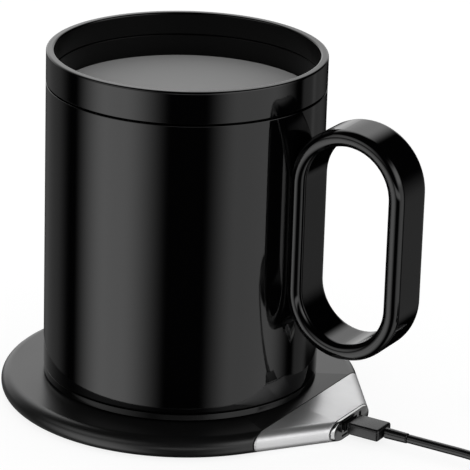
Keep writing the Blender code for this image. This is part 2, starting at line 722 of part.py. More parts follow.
def make_inner_cup(look):
    """Liner that holds the drink, with the ledge that the lid's gasket rests on."""
    step_under = LEDGE_HEIGHT - LINER_THICKNESS
    profile = fillet(
        [(0.0, CUP_FLOOR), (CUP_RADIUS, CUP_FLOOR), (CUP_RADIUS, LEDGE_HEIGHT),
         (INNER_RADIUS, LEDGE_HEIGHT), (INNER_RADIUS, LINER_TOP), (LINER_OUTER, LINER_TOP),
         (LINER_OUTER, step_under), (CUP_OUTER, step_under), (CUP_OUTER, CUP_UNDERSIDE),
         (0.0, CUP_UNDERSIDE)],
        [0.0, CUP_CORNER, 0.0, 0.0, 0.0, 0.0, 0.0, 0.0, CUP_CORNER + LINER_THICKNESS, 0.0])
    return turned("inner_cup", profile, look, MIDDLE_STEPS, ring=False)


def base_screw(name, look=None, grow=0.0):
    """The base's screws, or the holes for them; the foot ring hides their heads."""
    source = screw_body(name, BASE_HEAD_RADIUS, BASE_HEAD_HEIGHT, BASE_SHAFT_RADIUS, BASE_SCREW_LENGTH,
                        look, grow)
    place = group if grow else copies
    return place(source, round_the_axis(BASE_SCREW_COUNT, BASE_SCREW_CIRCLE, FOOT_CEILING,
                                        math.pi / BASE_SCREW_COUNT))


def make_base_cap(look):
    """Cap that closes the mug below: its edge is the ring under the lower seam line."""
    groove_bottom = BASE_FLOOR + GASKET_ABOVE_FLOOR - CLEARANCE
    groove_top = groove_bottom + GASKET_HEIGHT + 2 * CLEARANCE
    groove_radius = UPSTAND_OUTER - GASKET_WIDTH - CLEARANCE
    upstand_top = BASE_FLOOR + UPSTAND_HEIGHT
    foot_inner = FOOT_INNER - CLEARANCE
    foot_outer = FOOT_OUTER + CLEARANCE
    hole = BUTTON_RADIUS + CLEARANCE
    corners = [
        ((hole, BASE_BOTTOM), 0.0),
        ((hole, BASE_FLOOR), 0.0),
        ((UPSTAND_INNER, BASE_FLOOR), 0.0),
        ((UPSTAND_INNER, upstand_top), 0.0),
        ((UPSTAND_OUTER, upstand_top), 0.0),
        ((UPSTAND_OUTER, groove_top), 0.0),
        ((groove_radius, groove_top), 0.0),
        ((groove_radius, groove_bottom), 0.0),
        ((UPSTAND_OUTER, groove_bottom), 0.0),
        ((UPSTAND_OUTER, BASE_RING_TOP), 0.0),
        ((MUG_RADIUS - RING_TAPER, BASE_RING_TOP), SEAM_ROUNDING),
        ((MUG_RADIUS, BASE_BOTTOM), BASE_ROUNDING),
        ((foot_outer, BASE_BOTTOM), 0.0),
        ((foot_outer, FOOT_CEILING), 0.0),
        ((foot_inner, FOOT_CEILING), 0.0),
        ((foot_inner, BASE_BOTTOM), 0.0),
    ]
    profile = fillet([point for point, radius in corners], [radius for point, radius in corners], 1)
    cap = turned("base_cap", profile, look, MIDDLE_STEPS)
    boolean(cap, base_screw("cap_screw_holes", grow=CLEARANCE), 'DIFFERENCE')
    return cap


def make_base_seals(looks):
    """Gasket in the cap's groove and the foot ring that the mug stands on."""
    gasket_bottom = BASE_FLOOR + GASKET_ABOVE_FLOOR
    gasket_outer = UPSTAND_OUTER
    ring("base_gasket", (gasket_outer - GASKET_WIDTH, gasket_outer), gasket_bottom,
         gasket_bottom + GASKET_HEIGHT, looks["silicone"])
    ring("foot_ring", (FOOT_INNER, FOOT_OUTER), MUG_FOOT, MUG_FOOT + FOOT_THICKNESS, looks["silicone"],
         MIDDLE_STEPS)


def make_button(looks):
    """Round push button in the underside and the dome switch above it."""
    low = BASE_BOTTOM + BUTTON_RECESS
    flange_bottom = BASE_FLOOR + CLEARANCE
    flange_top = flange_bottom + BUTTON_FLANGE_THICKNESS
    flange_radius = BUTTON_RADIUS + BUTTON_FLANGE_WIDTH
    profile = [
        (0.0, flange_top), (flange_radius, flange_top), (flange_radius, flange_bottom),
        (BUTTON_RADIUS, flange_bottom), (BUTTON_RADIUS, low), (0.0, low),
    ]
    turned("power_button", profile, looks["matte_black"], COARSE_STEPS, ring=False)
    dome_bottom = flange_top + BUTTON_TRAVEL + CLEARANCE
    disc("dome_switch", DOME_RADIUS, dome_bottom, dome_bottom + DOME_HEIGHT, looks["steel"], SMALL_STEPS)


def make_carrier(look):
    """Plastic carrier in the base, with bosses that the base's screws hold."""
    floor_top = CARRIER_BOTTOM + CARRIER_FLOOR
    profile = [
        (0.0, floor_top), (CARRIER_INNER, floor_top), (CARRIER_INNER, CARRIER_TOP),
        (CARRIER_RADIUS, CARRIER_TOP), (CARRIER_RADIUS, CARRIER_BOTTOM), (0.0, CARRIER_BOTTOM),
    ]
    carrier = turned("carrier", profile, look, COARSE_STEPS, ring=False)
    low = BASE_FLOOR + CLEARANCE
    boss = cylinder("carrier_bosses", BOSS_RADIUS, (0.0, 0.0, low), (0.0, 0.0, low + BOSS_HEIGHT))
    places = round_the_axis(BASE_SCREW_COUNT, BASE_SCREW_CIRCLE, boss.location.z, math.pi / BASE_SCREW_COUNT)
    boolean(carrier, group(boss, places), 'UNION')
    boolean(carrier, base_screw("carrier_screw_holes", grow=CLEARANCE), 'DIFFERENCE')
    return carrier


def make_base_stack(looks):
    """Receiving coil, ferrite, battery, board and heater, from the base up to the cup's floor."""
    ring("receive_coil", RECEIVE_COIL_RADII, COIL_BOTTOM, COIL_BOTTOM + RECEIVE_COIL_HEIGHT,
         looks["copper"])
    ring("receive_ferrite", RECEIVE_FERRITE_RADII, FERRITE_BOTTOM, FERRITE_BOTTOM + FERRITE_THICKNESS,
         looks["ferrite"])
    half_length = CARRIER_INNER - BATTERY_END_GAP
    half_width = CARRIER_INNER - BATTERY_SIDE_GAP
    battery_bottom = CARRIER_BOTTOM + CARRIER_FLOOR + CLEARANCE
    box("battery_pack", (-half_length, -half_width, battery_bottom),
        (half_length, half_width, battery_bottom + BATTERY_HEIGHT), looks["battery"], BATTERY_EDGE)
    disc("control_board", BOARD_RADIUS, BOARD_BOTTOM, BOARD_TOP, looks["board"])
    chip_y = BOARD_RADIUS - CONTROL_CHIP_INSET
    chip_length, chip_width, chip_height = CONTROL_CHIP_SIZE
    chip_top = BOARD_BOTTOM - CLEARANCE
    box("control_chip", (-chip_length / 2, chip_y - chip_width / 2, chip_top - chip_height),
        (chip_length / 2, chip_y + chip_width / 2, chip_top), looks["chip"])
    shield = disc("heat_shield", BOARD_RADIUS, BOARD_TOP + CLEARANCE, PLATE_BOTTOM - CLEARANCE,
                  looks["felt"])
    plate_piece = disc("pressure_plate", PLATE_RADIUS, PLATE_BOTTOM, PLATE_TOP, looks["aluminium"])
    for piece, name in ((shield, "shield_hole"), (plate_piece, "plate_hole")):
        boolean(piece, sensor_bar(name, SENSOR_RADIUS + CLEARANCE, CUT_OVERRUN), 'DIFFERENCE')
    sensor_bar("temperature_sensor", SENSOR_RADIUS, 0.0, looks["brass"])
    disc("heater_film", FILM_RADIUS, FILM_TOP - FILM_THICKNESS, FILM_TOP, looks["film"])


def sensor_bar(name, radius, overrun, look=None):
    """The temperature sensor, or the hole that it stands in."""
    bottom = BOARD_TOP + CLEARANCE - overrun
    top = FILM_TOP - FILM_THICKNESS - CLEARANCE + overrun
    return cylinder(name, radius, (SENSOR_OFFSET, 0.0, bottom), (SENSOR_OFFSET, 0.0, top), look)


# Handle

def stadium(depth, height, inset):
    """Upright loop outline in the handle's plane, with full-round ends."""
    radius = depth / 2 - inset
    reach = height / 2 - depth / 2
    middle = HANDLE_REACH - depth / 2
    points = []
    for end in (1, -1):
        first = 0.0 if end == 1 else math.pi
        for step in range(HANDLE_ARC_STEPS + 1):
            angle = first + math.pi * step / HANDLE_ARC_STEPS
            points.append((middle + radius * math.cos(angle), end * reach + radius * math.sin(angle)))
    return points


def make_handle(look):
    """Strap bent to a racetrack loop, its inner run cut to the shell's curve."""
    outer = stadium(HANDLE_DEPTH, HANDLE_HEIGHT, 0.0)
    inner = stadium(HANDLE_DEPTH, HANDLE_HEIGHT, STRAP_THICKNESS)
    handle = plate("handle_loop", [outer, inner], -STRAP_WIDTH / 2, STRAP_WIDTH / 2, look, STRAP_EDGE)
    smooth(handle.data)
    handle.rotation_euler.x = math.pi / 2
    handle.location.z = HANDLE_MIDDLE
    saddle = disc("handle_saddle", MUG_RADIUS + CLEARANCE, HANDLE_LOW - CUT_OVERRUN, RIM_TOP,
                  steps=2 * FINE_STEPS)
    boolean(handle, saddle, 'DIFFERENCE')
    boolean(handle, handle_screw("handle_screw_holes", grow=CLEARANCE), 'DIFFERENCE')
    return handle


def handle_screw(name, look=None, grow=0.0):
    """Two screws that go out through the shell into the handle, or their holes."""
    source = screw_body(name, HANDLE_HEAD_RADIUS, HANDLE_HEAD_HEIGHT, HANDLE_SHAFT_RADIUS,
                        HANDLE_HEAD_HEIGHT + HANDLE_SCREW_LENGTH, look, grow)
    head_start = SHELL_INNER - CLEARANCE - HANDLE_HEAD_HEIGHT
    outwards = Matrix.Rotation(math.pi / 2, 4, 'Y')
    turns = []
    for side in (-1, 1):
        height = HANDLE_MIDDLE + side * HANDLE_SCREW_SPACING / 2
        turns.append(Matrix.Translation((head_start, 0.0, height)) @ outwards)
    place = group if grow else copies
    return place(source, turns)


def make_mug(looks):
    """Everything that lifts off the coaster, apart from the lid."""
    make_outer_shell(looks["gloss_black"])
    make_rim_collar(looks["gloss_black"])
    make_inner_cup(looks["liner"])
    make_handle(looks["gloss_black"])
    handle_screw("handle_screw", looks["steel"])
    make_base_cap(looks["gloss_black"])
    make_base_seals(looks)
    make_button(looks)
    base_screw("base_screw", looks["steel"])
    make_carrier(looks["matte_black"])
    make_base_stack(looks)


# Lid

def make_lid(looks):
    """Drop-in lid with its sip opening and vent on the side away from the photograph's view."""
    plate_bottom = LID_TOP - LID_THICKNESS
    hub_radius = LID_RADIUS - LID_HUB_INSET
    profile = fillet(
        [(0.0, LID_TOP), (LID_RADIUS, LID_TOP), (LID_RADIUS, plate_bottom), (hub_radius, plate_bottom),
         (hub_radius, LID_BOTTOM), (0.0, LID_BOTTOM)],
        [0.0, LID_EDGE, 0.0, 0.0, 0.0, 0.0], 1)
    lid = turned("lid_disc", profile, looks["lid"], MIDDLE_STEPS, ring=False)
    sip = plate("sip_cutter", [sip_outline()], LID_BOTTOM - CUT_OVERRUN, LID_TOP + CUT_OVERRUN)
    boolean(lid, sip, 'DIFFERENCE')
    vent_y = VENT_BEHIND_SIP - SIP_OFFSET
    vent = cylinder("vent_cutter", VENT_RADIUS, (VENT_ASIDE, vent_y, LID_BOTTOM - CUT_OVERRUN),
                    (VENT_ASIDE, vent_y, LID_TOP + CUT_OVERRUN))
    boolean(lid, vent, 'DIFFERENCE')
    gasket = (hub_radius + CLEARANCE, LID_RADIUS)
    ring("lid_gasket", gasket, LID_BOTTOM, plate_bottom - CLEARANCE, looks["silicone"], MIDDLE_STEPS)


def sip_outline():
    """Long hole with round ends, across the -Y side of the lid."""
    radius = SIP_WIDTH / 2
    reach = SIP_LENGTH / 2 - radius
    points = []
    for end in (1, -1):
        for step in range(SMALL_STEPS // 2 + 1):
            angle = math.pi * step / (SMALL_STEPS // 2) - end * math.pi / 2
            points.append((end * reach + radius * math.cos(angle), -SIP_OFFSET + radius * math.sin(angle)))
    return points


# Plug, cord and coil

def make_plug(looks):
    """Flat plug in the coaster's tail, with its strain relief."""
    half_width = INSERT_WIDTH / 2
    half_height = INSERT_THICKNESS / 2
    tip = TAIL_REACH - SOCKET_DEPTH + CLEARANCE
    insert = box("plug_insert", (tip, -half_width, HOUSING_MIDDLE - half_height),
                 (PLUG_START - CLEARANCE, half_width, HOUSING_MIDDLE + half_height), looks["gloss_black"])
    pin_end = TAIL_REACH - SOCKET_DEPTH + PIN_STANDOUT
    boolean(insert, pin_pair("insert_holes", PIN_RADIUS + CLEARANCE, tip - CUT_OVERRUN,
                             pin_end + CLEARANCE), 'DIFFERENCE')
    half_width = PLUG_WIDTH / 2
    half_height = PLUG_THICKNESS / 2
    box("plug_body", (PLUG_START, -half_width, HOUSING_MIDDLE - half_height),
        (PLUG_END, half_width, HOUSING_MIDDLE + half_height), looks["plug"], PLUG_EDGE)
    near, far = RELIEF_RADII
    taper("plug_relief", near, far, RELIEF_LENGTH, looks["rubber"],
          (PLUG_END + CLEARANCE, 0.0, HOUSING_MIDDLE), 1)


def taper(name, near, far, length, look, place, heading):
    """Tapered sleeve along X: heading 1 runs to +X from its place, and -1 to -X."""
    made = turned(name, [(0.0, length), (far, length), (near, 0.0), (0.0, 0.0)], look, SMALL_STEPS,
                  ring=False, place=place)
    made.rotation_euler.y = heading * math.pi / 2
    return made


def smooth_route(points, step):
    """Even points on a smooth curve through a route's own points."""
    route = [Vector(point) for point in points]
    ends = [2 * route[0] - route[1]] + route + [2 * route[-1] - route[-2]]
    result = [route[0]]
    for index in range(1, len(ends) - 2):
        before, start, end, after = ends[index - 1:index + 3]
        pieces = max(1, round((end - start).length / step))
        for piece in range(1, pieces + 1):
            t = piece / pieces
            place = 0.5 * (2 * start + (end - before) * t
                           + (2 * before - 5 * start + 4 * end - after) * t ** 2
                           + (3 * start - before - 3 * end + after) * t ** 3)
            result.append(place)
    return result


def coil_points():
    """Two layers: the loops spiral in below, climb where they turn back, and spiral out above."""
    points = []
    count = round(COIL_TURNS * POINTS_PER_LOOP)
    for step in range(count + 1):
        turn = step / POINTS_PER_LOOP
        past = turn - COIL_REVERSAL
        radius = COIL_INNER_RADIUS + COIL_PITCH * abs(past)
        climb = min(1.0, max(0.0, 0.5 + 2 * past))
        angle = math.tau * turn - math.pi / 2
        height = COIL_LAYER_ONE + COIL_PITCH * climb
        points.append(COIL_CENTRE + Vector((radius * math.cos(angle), radius * math.sin(angle), height)))
    return points


def run_out_points(start):
    """The cord's last stretch, from the top of the coil back along -X and down to the far plug."""
    points = []
    for step in range(1, RUN_OUT_STEPS + 1):
        along = RUN_OUT_LENGTH * step / RUN_OUT_STEPS
        share = min(1.0, max(0.0, (along - RUN_OUT_LEVEL) / (RUN_OUT_LENGTH - RUN_OUT_LEVEL)))
        ease = share * share * (3 - 2 * share)
        height = start.z + (USB_AXIS_HEIGHT - start.z) * ease
        points.append(Vector((start.x - along, start.y, height)))
    last = points[-1]
    points.append(Vector((last.x - CORD_DIAMETER, last.y, last.z)))
    return points


def tube(name, points, resolution, look):
    """Round tube through points: a POLY curve with a bevel and filled caps."""
    curve = bpy.data.curves.new(name, 'CURVE')
    curve.dimensions = '3D'
    curve.bevel_depth = CORD_RADIUS
    curve.bevel_resolution = resolution
    curve.use_fill_caps = True
    spline = curve.splines.new('POLY')
    spline.points.add(len(points) - 1)
    for point, place in zip(spline.points, points):
        point.co = (*place, 1.0)
    return add(name, curve, look)


def least_gap(points):
    """Least gap of the coil's tube to itself, measured on points half a step apart."""
    fine = []
    for start, end in zip(points, points[1:]):
        fine += [start, (start + end) / 2]
    apart = POINTS_PER_LOOP
    least = math.inf
    for index, place in enumerate(fine):
        for other in fine[index + apart:]:
            least = min(least, (place - other).length)
    return least - CORD_DIAMETER


def make_cord(looks):
    """Free stretch, wound coil, its tie and the plug at the cord's far end."""
    free = smooth_route(CORD_ROUTE, CORD_STEP)
    tube("supply_cord", free, 2, looks["rubber"])
    loops = coil_points()
    lead_in = loops[0] - Vector((CORD_DIAMETER, 0.0, 0.0))
    wound = [lead_in] + loops + run_out_points(loops[-1])
    tube("cord_coil", wound, 1, looks["rubber"])
    lengths = [sum((b - a).length for a, b in zip(run, run[1:])) for run in (free, wound)]
    print(f"cord: free {lengths[0]:.4f} m, wound {lengths[1]:.4f} m, total {sum(lengths):.4f} m")
    print(f"coil: least gap to itself {least_gap(wound) / MM:.2f} mm")
    make_tie(looks["rubber"])
    make_usb_plug(wound[-1], looks)


def make_tie(look):
    """Strap round the coil's bundle, on the side away from the cord's ends."""
    half = TIE_WIDTH / 2
    inner = math.sqrt(COIL_INNER_RADIUS ** 2 - half ** 2) - CORD_RADIUS - CLEARANCE
    outer = COIL_INNER_RADIUS + COIL_PITCH * math.floor(COIL_REVERSAL) + CORD_RADIUS + CLEARANCE
    low = COIL_LAYER_ONE - CORD_RADIUS - CLEARANCE
    high = COIL_LAYER_ONE + COIL_PITCH + CORD_RADIUS + CLEARANCE
    hole = [(inner, low), (outer, low), (outer, high), (inner, high)]
    around = [(inner - TIE_THICKNESS, low - TIE_THICKNESS), (outer + TIE_THICKNESS, low - TIE_THICKNESS),
              (outer + TIE_THICKNESS, high + TIE_THICKNESS), (inner - TIE_THICKNESS, high + TIE_THICKNESS)]
    corner = [TIE_THICKNESS] * len(around)
    tie = plate("cord_tie", [fillet(around, corner, 2), hole], -half, half, look)
    tie.rotation_euler.x = math.pi / 2
    tie.location = COIL_CENTRE


def make_usb_plug(cord_end, looks):
    """Flat USB plug on the floor beside the coil, pointing back along -X."""
    y = cord_end.y
    z = USB_AXIS_HEIGHT
    x = cord_end.x - CLEARANCE
    near, far = USB_RELIEF_RADII
    taper("usb_relief", near, far, USB_RELIEF_LENGTH, looks["rubber"], (x, y, z), -1)
    x -= USB_RELIEF_LENGTH + CLEARANCE
    length, width, height = USB_BODY_SIZE
    box("usb_plug_body", (x - length, y - width / 2, z - height / 2), (x, y + width / 2, z + height / 2),
        looks["plug"], USB_BODY_EDGE)
    x -= length + CLEARANCE
    length, width, height = USB_SHELL_SIZE
    shell = box("usb_plug_shell", (x - length, y - width / 2, z - height / 2),
                (x, y + width / 2, z + height / 2), looks["steel"])
    half_width = width / 2 - USB_SHELL_WALL
    half_height = height / 2 - USB_SHELL_WALL
    mouth = x - length
    bore = box("usb_bore", (mouth - CUT_OVERRUN, y - half_width, z - half_height),
               (mouth + USB_MOUTH_DEPTH, y + half_width, z + half_height))
    boolean(shell, bore, 'DIFFERENCE')
    tongue_low = z - half_height + CLEARANCE
    box("usb_tongue", (mouth + CLEARANCE, y - half_width + CLEARANCE, tongue_low),
        (mouth + USB_MOUTH_DEPTH - CLEARANCE, y + half_width - CLEARANCE,
         tongue_low + USB_TONGUE_THICKNESS), looks["usb_tongue"])


# Colours, joints and the whole

def make_looks():
    """Materials, with colours and gloss read from the photograph."""
    return {
        "gloss_black": material("gloss_black", (0.012, 0.012, 0.013), 0.08),
        "base_black": material("base_black", (0.02, 0.02, 0.021), 0.3),
        "matte_black": material("matte_black", (0.018, 0.018, 0.019), 0.5),
        "end_face": material("end_face", (0.55, 0.55, 0.55), 0.15, 1.0),
        "lid": material("lid", (0.35, 0.35, 0.35), 0.5),
        "liner": material("liner", (0.016, 0.016, 0.017), 0.2),
        "silver": material("silver", (0.62, 0.62, 0.63), 0.22, 1.0),
        "silicone": material("silicone", (0.03, 0.03, 0.032), 0.6),
        "rubber": material("rubber", (0.016, 0.016, 0.017), 0.4),
        "plug": material("plug", (0.01, 0.01, 0.01), 0.35),
        "steel": material("steel", (0.6, 0.6, 0.61), 0.3, 1.0),
        "aluminium": material("aluminium", (0.7, 0.7, 0.71), 0.4, 1.0),
        "brass": material("brass", (0.75, 0.56, 0.25), 0.3, 1.0),
        "copper": material("copper", (0.72, 0.36, 0.2), 0.35, 1.0),
        "ferrite": material("ferrite", (0.06, 0.058, 0.056), 0.7),
        "board": material("board", (0.02, 0.11, 0.05), 0.45),
        "chip": material("chip", (0.025, 0.025, 0.027), 0.5),
        "battery": material("battery", (0.05, 0.13, 0.32), 0.4),
        "felt": material("felt", (0.55, 0.52, 0.46), 0.9),
        "film": material("film", (0.45, 0.22, 0.05), 0.35),
        "usb_tongue": material("usb_tongue", (0.72, 0.72, 0.7), 0.5),
    }


MUG_PIECES = (
    "outer_shell", "rim_collar", "inner_cup", "handle_loop", "handle_screw_1", "handle_screw_2",
    "base_cap", "base_gasket", "foot_ring", "dome_switch", "carrier", "receive_coil",
    "receive_ferrite", "battery_pack", "control_board", "control_chip", "heat_shield",
    "pressure_plate", "temperature_sensor", "heater_film",
    *(f"base_screw_{index + 1}" for index in range(BASE_SCREW_COUNT)),
)
LID_PIECES = ("lid_disc", "lid_gasket")
BUTTON_PIECES = ("power_button",)
LEAD_PIECES = (
    "plug_insert", "plug_body", "plug_relief", "supply_cord", "cord_coil", "cord_tie", "usb_relief",
    "usb_plug_body", "usb_plug_shell", "usb_tongue",
)


def hang(name, place, pieces, holder=None):
    """Empty on a joint's axis, with the pieces that move there under it."""
    axis = bpy.data.objects.new(name, None)
    axis.location = place
    parts.objects.link(axis)
    bpy.context.view_layer.update()
    for piece in pieces:
        item = bpy.data.objects[piece]
        item.parent = axis
        item.matrix_parent_inverse = axis.matrix_world.inverted()
    if holder:
        axis.parent = holder
        axis.matrix_parent_inverse = holder.matrix_world.inverted()
    return axis


def main():
    new_collections()
    looks = make_looks()
    make_coaster(looks)
    make_mug(looks)
    make_lid(looks)
    make_plug(looks)
    make_cord(looks)
    mug = hang("mug_lift", (0.0, 0.0, MUG_FOOT), MUG_PIECES)
    hang("lid_lift", (0.0, 0.0, LID_TOP), LID_PIECES, mug)
    hang("button_press", (0.0, 0.0, BASE_BOTTOM), BUTTON_PIECES, mug)
    hang("plug_pull", (TAIL_REACH, 0.0, HOUSING_MIDDLE), LEAD_PIECES)


main()
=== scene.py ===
"""Looks of a self heating mug on its round charging coaster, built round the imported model.

Laid out as a Blender add-on and run as a script. The mug's axis is +Z and +X runs along the handle and
the coaster's tail. All sizes are in metres.
"""

import math
from contextlib import contextmanager

import bmesh
import bpy
from bpy.props import FloatProperty, FloatVectorProperty, IntProperty, PointerProperty
from mathutils import Matrix, Vector


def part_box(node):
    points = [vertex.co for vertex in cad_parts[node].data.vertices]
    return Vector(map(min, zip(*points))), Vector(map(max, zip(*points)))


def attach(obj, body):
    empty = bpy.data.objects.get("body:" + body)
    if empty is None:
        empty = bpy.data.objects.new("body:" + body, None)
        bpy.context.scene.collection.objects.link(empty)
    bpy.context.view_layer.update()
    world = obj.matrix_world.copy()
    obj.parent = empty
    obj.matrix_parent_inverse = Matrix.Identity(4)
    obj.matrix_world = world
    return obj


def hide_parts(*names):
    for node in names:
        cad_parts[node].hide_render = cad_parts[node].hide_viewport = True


bl_info = {
    "name": "Self Heating Mug",
    "version": (1, 0, 0),
    "blender": (4, 5, 0),
    "location": "3D View > Sidebar > Mug",
    "description": "Builds the visible pieces and the studio of a self heating mug on its coaster",
    "category": "Object",
}

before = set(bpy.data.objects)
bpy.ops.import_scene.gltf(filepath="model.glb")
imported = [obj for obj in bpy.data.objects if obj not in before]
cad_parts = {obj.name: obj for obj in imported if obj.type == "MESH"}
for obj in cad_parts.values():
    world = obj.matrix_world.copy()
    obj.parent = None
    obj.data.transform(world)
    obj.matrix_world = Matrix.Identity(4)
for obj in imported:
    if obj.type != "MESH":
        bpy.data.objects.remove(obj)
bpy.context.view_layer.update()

MM = 0.001

# Points closer than this are merged
WELD = 0.001 * MM
# Distance of the points that hold the faces beside an arc flat
HOLD = 0.06 * MM
# How far a cutter reaches past the surface that it cuts
OVERRUN = 2.0 * MM
SHARP_ANGLE = math.radians(32.0)

# Depths of the finishes' relief
WAVE_DEPTH = 0.05 * MM
GRAIN_DEPTH = 0.02 * MM
JACKET_DEPTH = 0.01 * MM
BRUSH_DEPTH = 0.01 * MM
WRAP_DEPTH = 0.1 * MM
WIRE_DEPTH = 0.2 * MM
TRACK_DEPTH = 0.03 * MM
FELT_DEPTH = 0.2 * MM


def low(node):
    """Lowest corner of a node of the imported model."""
    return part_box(node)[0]


def high(node):
    """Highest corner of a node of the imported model."""
    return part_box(node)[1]


def middle(node):
    """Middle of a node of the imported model."""
    return (low(node) + high(node)) / 2


def span(node):
    """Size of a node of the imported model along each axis."""
    return high(node) - low(node)


def extent(node):
    """Reach along +X, which is a round node's outer radius, then underside and top."""
    return high(node).x, low(node).z, high(node).z


def length(name, value, description):
    """Property for a size in metres."""
    return FloatProperty(name=name, description=description, default=value, subtype='DISTANCE', unit='LENGTH')


def colour(name, value, description):
    """Property for a colour."""
    return FloatVectorProperty(name=name, description=description, default=value, subtype='COLOR',
                               size=3, min=0.0, max=1.0)


def angle(name, value, description):
    """Property for an angle, given in degrees."""
    return FloatProperty(name=name, description=description, default=math.radians(value), subtype='ANGLE',
                         unit='ROTATION')


class MugSizes(bpy.types.PropertyGroup):
    """Walls and roundings of the mug and its lid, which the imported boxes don't give."""

    clearance: length("Clearance", 0.3 * MM, "Gap between pieces that meet")
    shell_wall: length("Shell wall", 1.2 * MM, "Wall of the outer shell")
    rim_wall: length("Rim wall", 2.54 * MM, "Width of the flat rim")
    rim_rounding: length("Rim rounding", 0.7 * MM, "Rounding of the rim's two edges")
    skirt_depth: length("Skirt depth", 2.9 * MM, "How far the rim's outer band hangs below its inner edge")
    seam_rounding: length("Seam rounding", 0.22 * MM, "Rounding where pieces meet at a seam")
    liner_wall: length("Liner wall", 0.8 * MM, "Wall of the inner cup")
    ledge_width: length("Ledge width", 1.06 * MM, "Step in the cup under the lid")
    cup_corner: length("Cup corner", 5.0 * MM, "Rounding between the cup's wall and floor")
    shell_foot_rounding: length("Shell foot rounding", 0.3 * MM, "Rounding at the shell's lower edge")
    ring_taper: length("Ring taper", 0.4 * MM, "How far the base ring draws in towards its top")
    ring_rounding: length("Ring rounding", 0.22 * MM, "Rounding at the base ring's upper edge")
    base_rounding: length("Base rounding", 0.12 * MM, "Rounding at the mug's lower edge")
    button_flange: length("Button flange", 1.2 * MM, "How far the button's hidden flange stands out")
    strap_thickness: length("Strap thickness", 5.3 * MM, "Thickness of the handle's strap")
    strap_edge: length("Strap edge", 2.6 * MM, "Rounding of the strap's edges")
    strap_sink: length("Strap sink", 1.7 * MM, "How far the strap's loop reaches behind the shell's face")
    strap_seat: length("Strap seat", 0.1 * MM, "Gap between the strap and the shell")
    lid_hub: length("Lid hub", 1.6 * MM, "Height of the plug under the lid")
    lid_edge: length("Lid edge", 0.25 * MM, "Rounding of the lid's upper edge")
    sip_length: length("Sip length", 17.0 * MM, "Length of the sip opening")
    sip_width: length("Sip width", 8.5 * MM, "Width of the sip opening")
    sip_inset: length("Sip inset", 10.2 * MM, "From the lid's edge to the middle of the sip opening")
    vent_radius: length("Vent radius", 1.1 * MM, "Radius of the vent in the lid")
    vent_aside: length("Vent aside", 15.0 * MM, "From the lid's middle plane to the vent")
    vent_behind_sip: length("Vent behind sip", 8.0 * MM, "From the sip opening's middle back to the vent")
    steps: IntProperty(name="Steps", description="Facets round a turned piece", default=224, min=24)


class CoasterSizes(bpy.types.PropertyGroup):
    """Sizes of the coaster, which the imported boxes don't give."""

    edge_land: length("Edge land", 0.2 * MM, "Upright stretch between the two halves of the round edge")
    wall: length("Wall", 1.1 * MM, "Wall of the housing and of the tail's sleeve")
    floor_inset: length("Floor inset", 4.7 * MM, "From the coaster's edge in to its floor plate")
    tail_half_width: length("Tail half width", 11.0 * MM, "Half the width of the tail's end")
    cut_rounding: length("Cut rounding", 0.12 * MM, "Rounding where housing, sleeve and end face meet")
    mouth_side_margin: length("Mouth side margin", 1.9 * MM, "Recess at the sides of the socket's mouth")
    mouth_margin: length("Mouth margin", 0.9 * MM, "Recess above and below the socket's mouth")
    mouth_depth: length("Mouth depth", 0.4 * MM, "Depth of the recess round the socket")
    socket_depth: length("Socket depth", 5.7 * MM, "Depth of the socket")
    steps: IntProperty(name="Steps", description="Facets round the coaster", default=240, min=24)


class LeadSizes(bpy.types.PropertyGroup):
    """Sizes of the supply lead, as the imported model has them."""

    cord_radius: length("Cord radius", 1.4 * MM, "Radius of the cord")
    coil_inner_radius: length("Coil inner radius", 9.5 * MM, "Radius of the innermost loop")
    coil_pitch: length("Coil pitch", 3.3 * MM, "Distance between loops, and between the two layers")
    coil_turns: FloatProperty(name="Coil turns", description="Turns of the wound length", default=8.5)
    tie_thickness: length("Tie thickness", 0.8 * MM, "Thickness of the strap round the coil")
    run_out_level: length("Run out level", 9.0 * MM, "Length that leaves the coil level")
    run_out_length: length("Run out length", 20.0 * MM, "Length from the coil to the far plug")
    plug_edge: length("Plug edge", 0.9 * MM, "Rounding of the plug's edges")
    relief_near: length("Relief near", 1.75 * MM, "Radius of the strain relief at the plug")
    relief_far: length("Relief far", 1.6 * MM, "Radius of the strain relief at the cord")
    relief_edge: length("Relief edge", 0.4375 * MM, "Rounding of the strain relief's ends")
    far_plug_edge: length("Far plug edge", 1.2 * MM, "Rounding of the far plug's grip")
    far_relief_near: length("Far relief near", 2.8 * MM, "Radius of the far strain relief at its plug")
    far_relief_far: length("Far relief far", 1.8 * MM, "Radius of the far strain relief at the cord")
    far_relief_edge: length("Far relief edge", 0.45 * MM, "Rounding of the far strain relief's ends")
    shell_wall: length("Shell wall", 0.35 * MM, "Wall of the far plug's shell")
    shell_window: length("Shell window", 2.2 * MM, "Width of a spring window, and its place from the middle")
    shell_mouth: length("Shell mouth", 11.0 * MM, "Depth of the far plug's mouth")


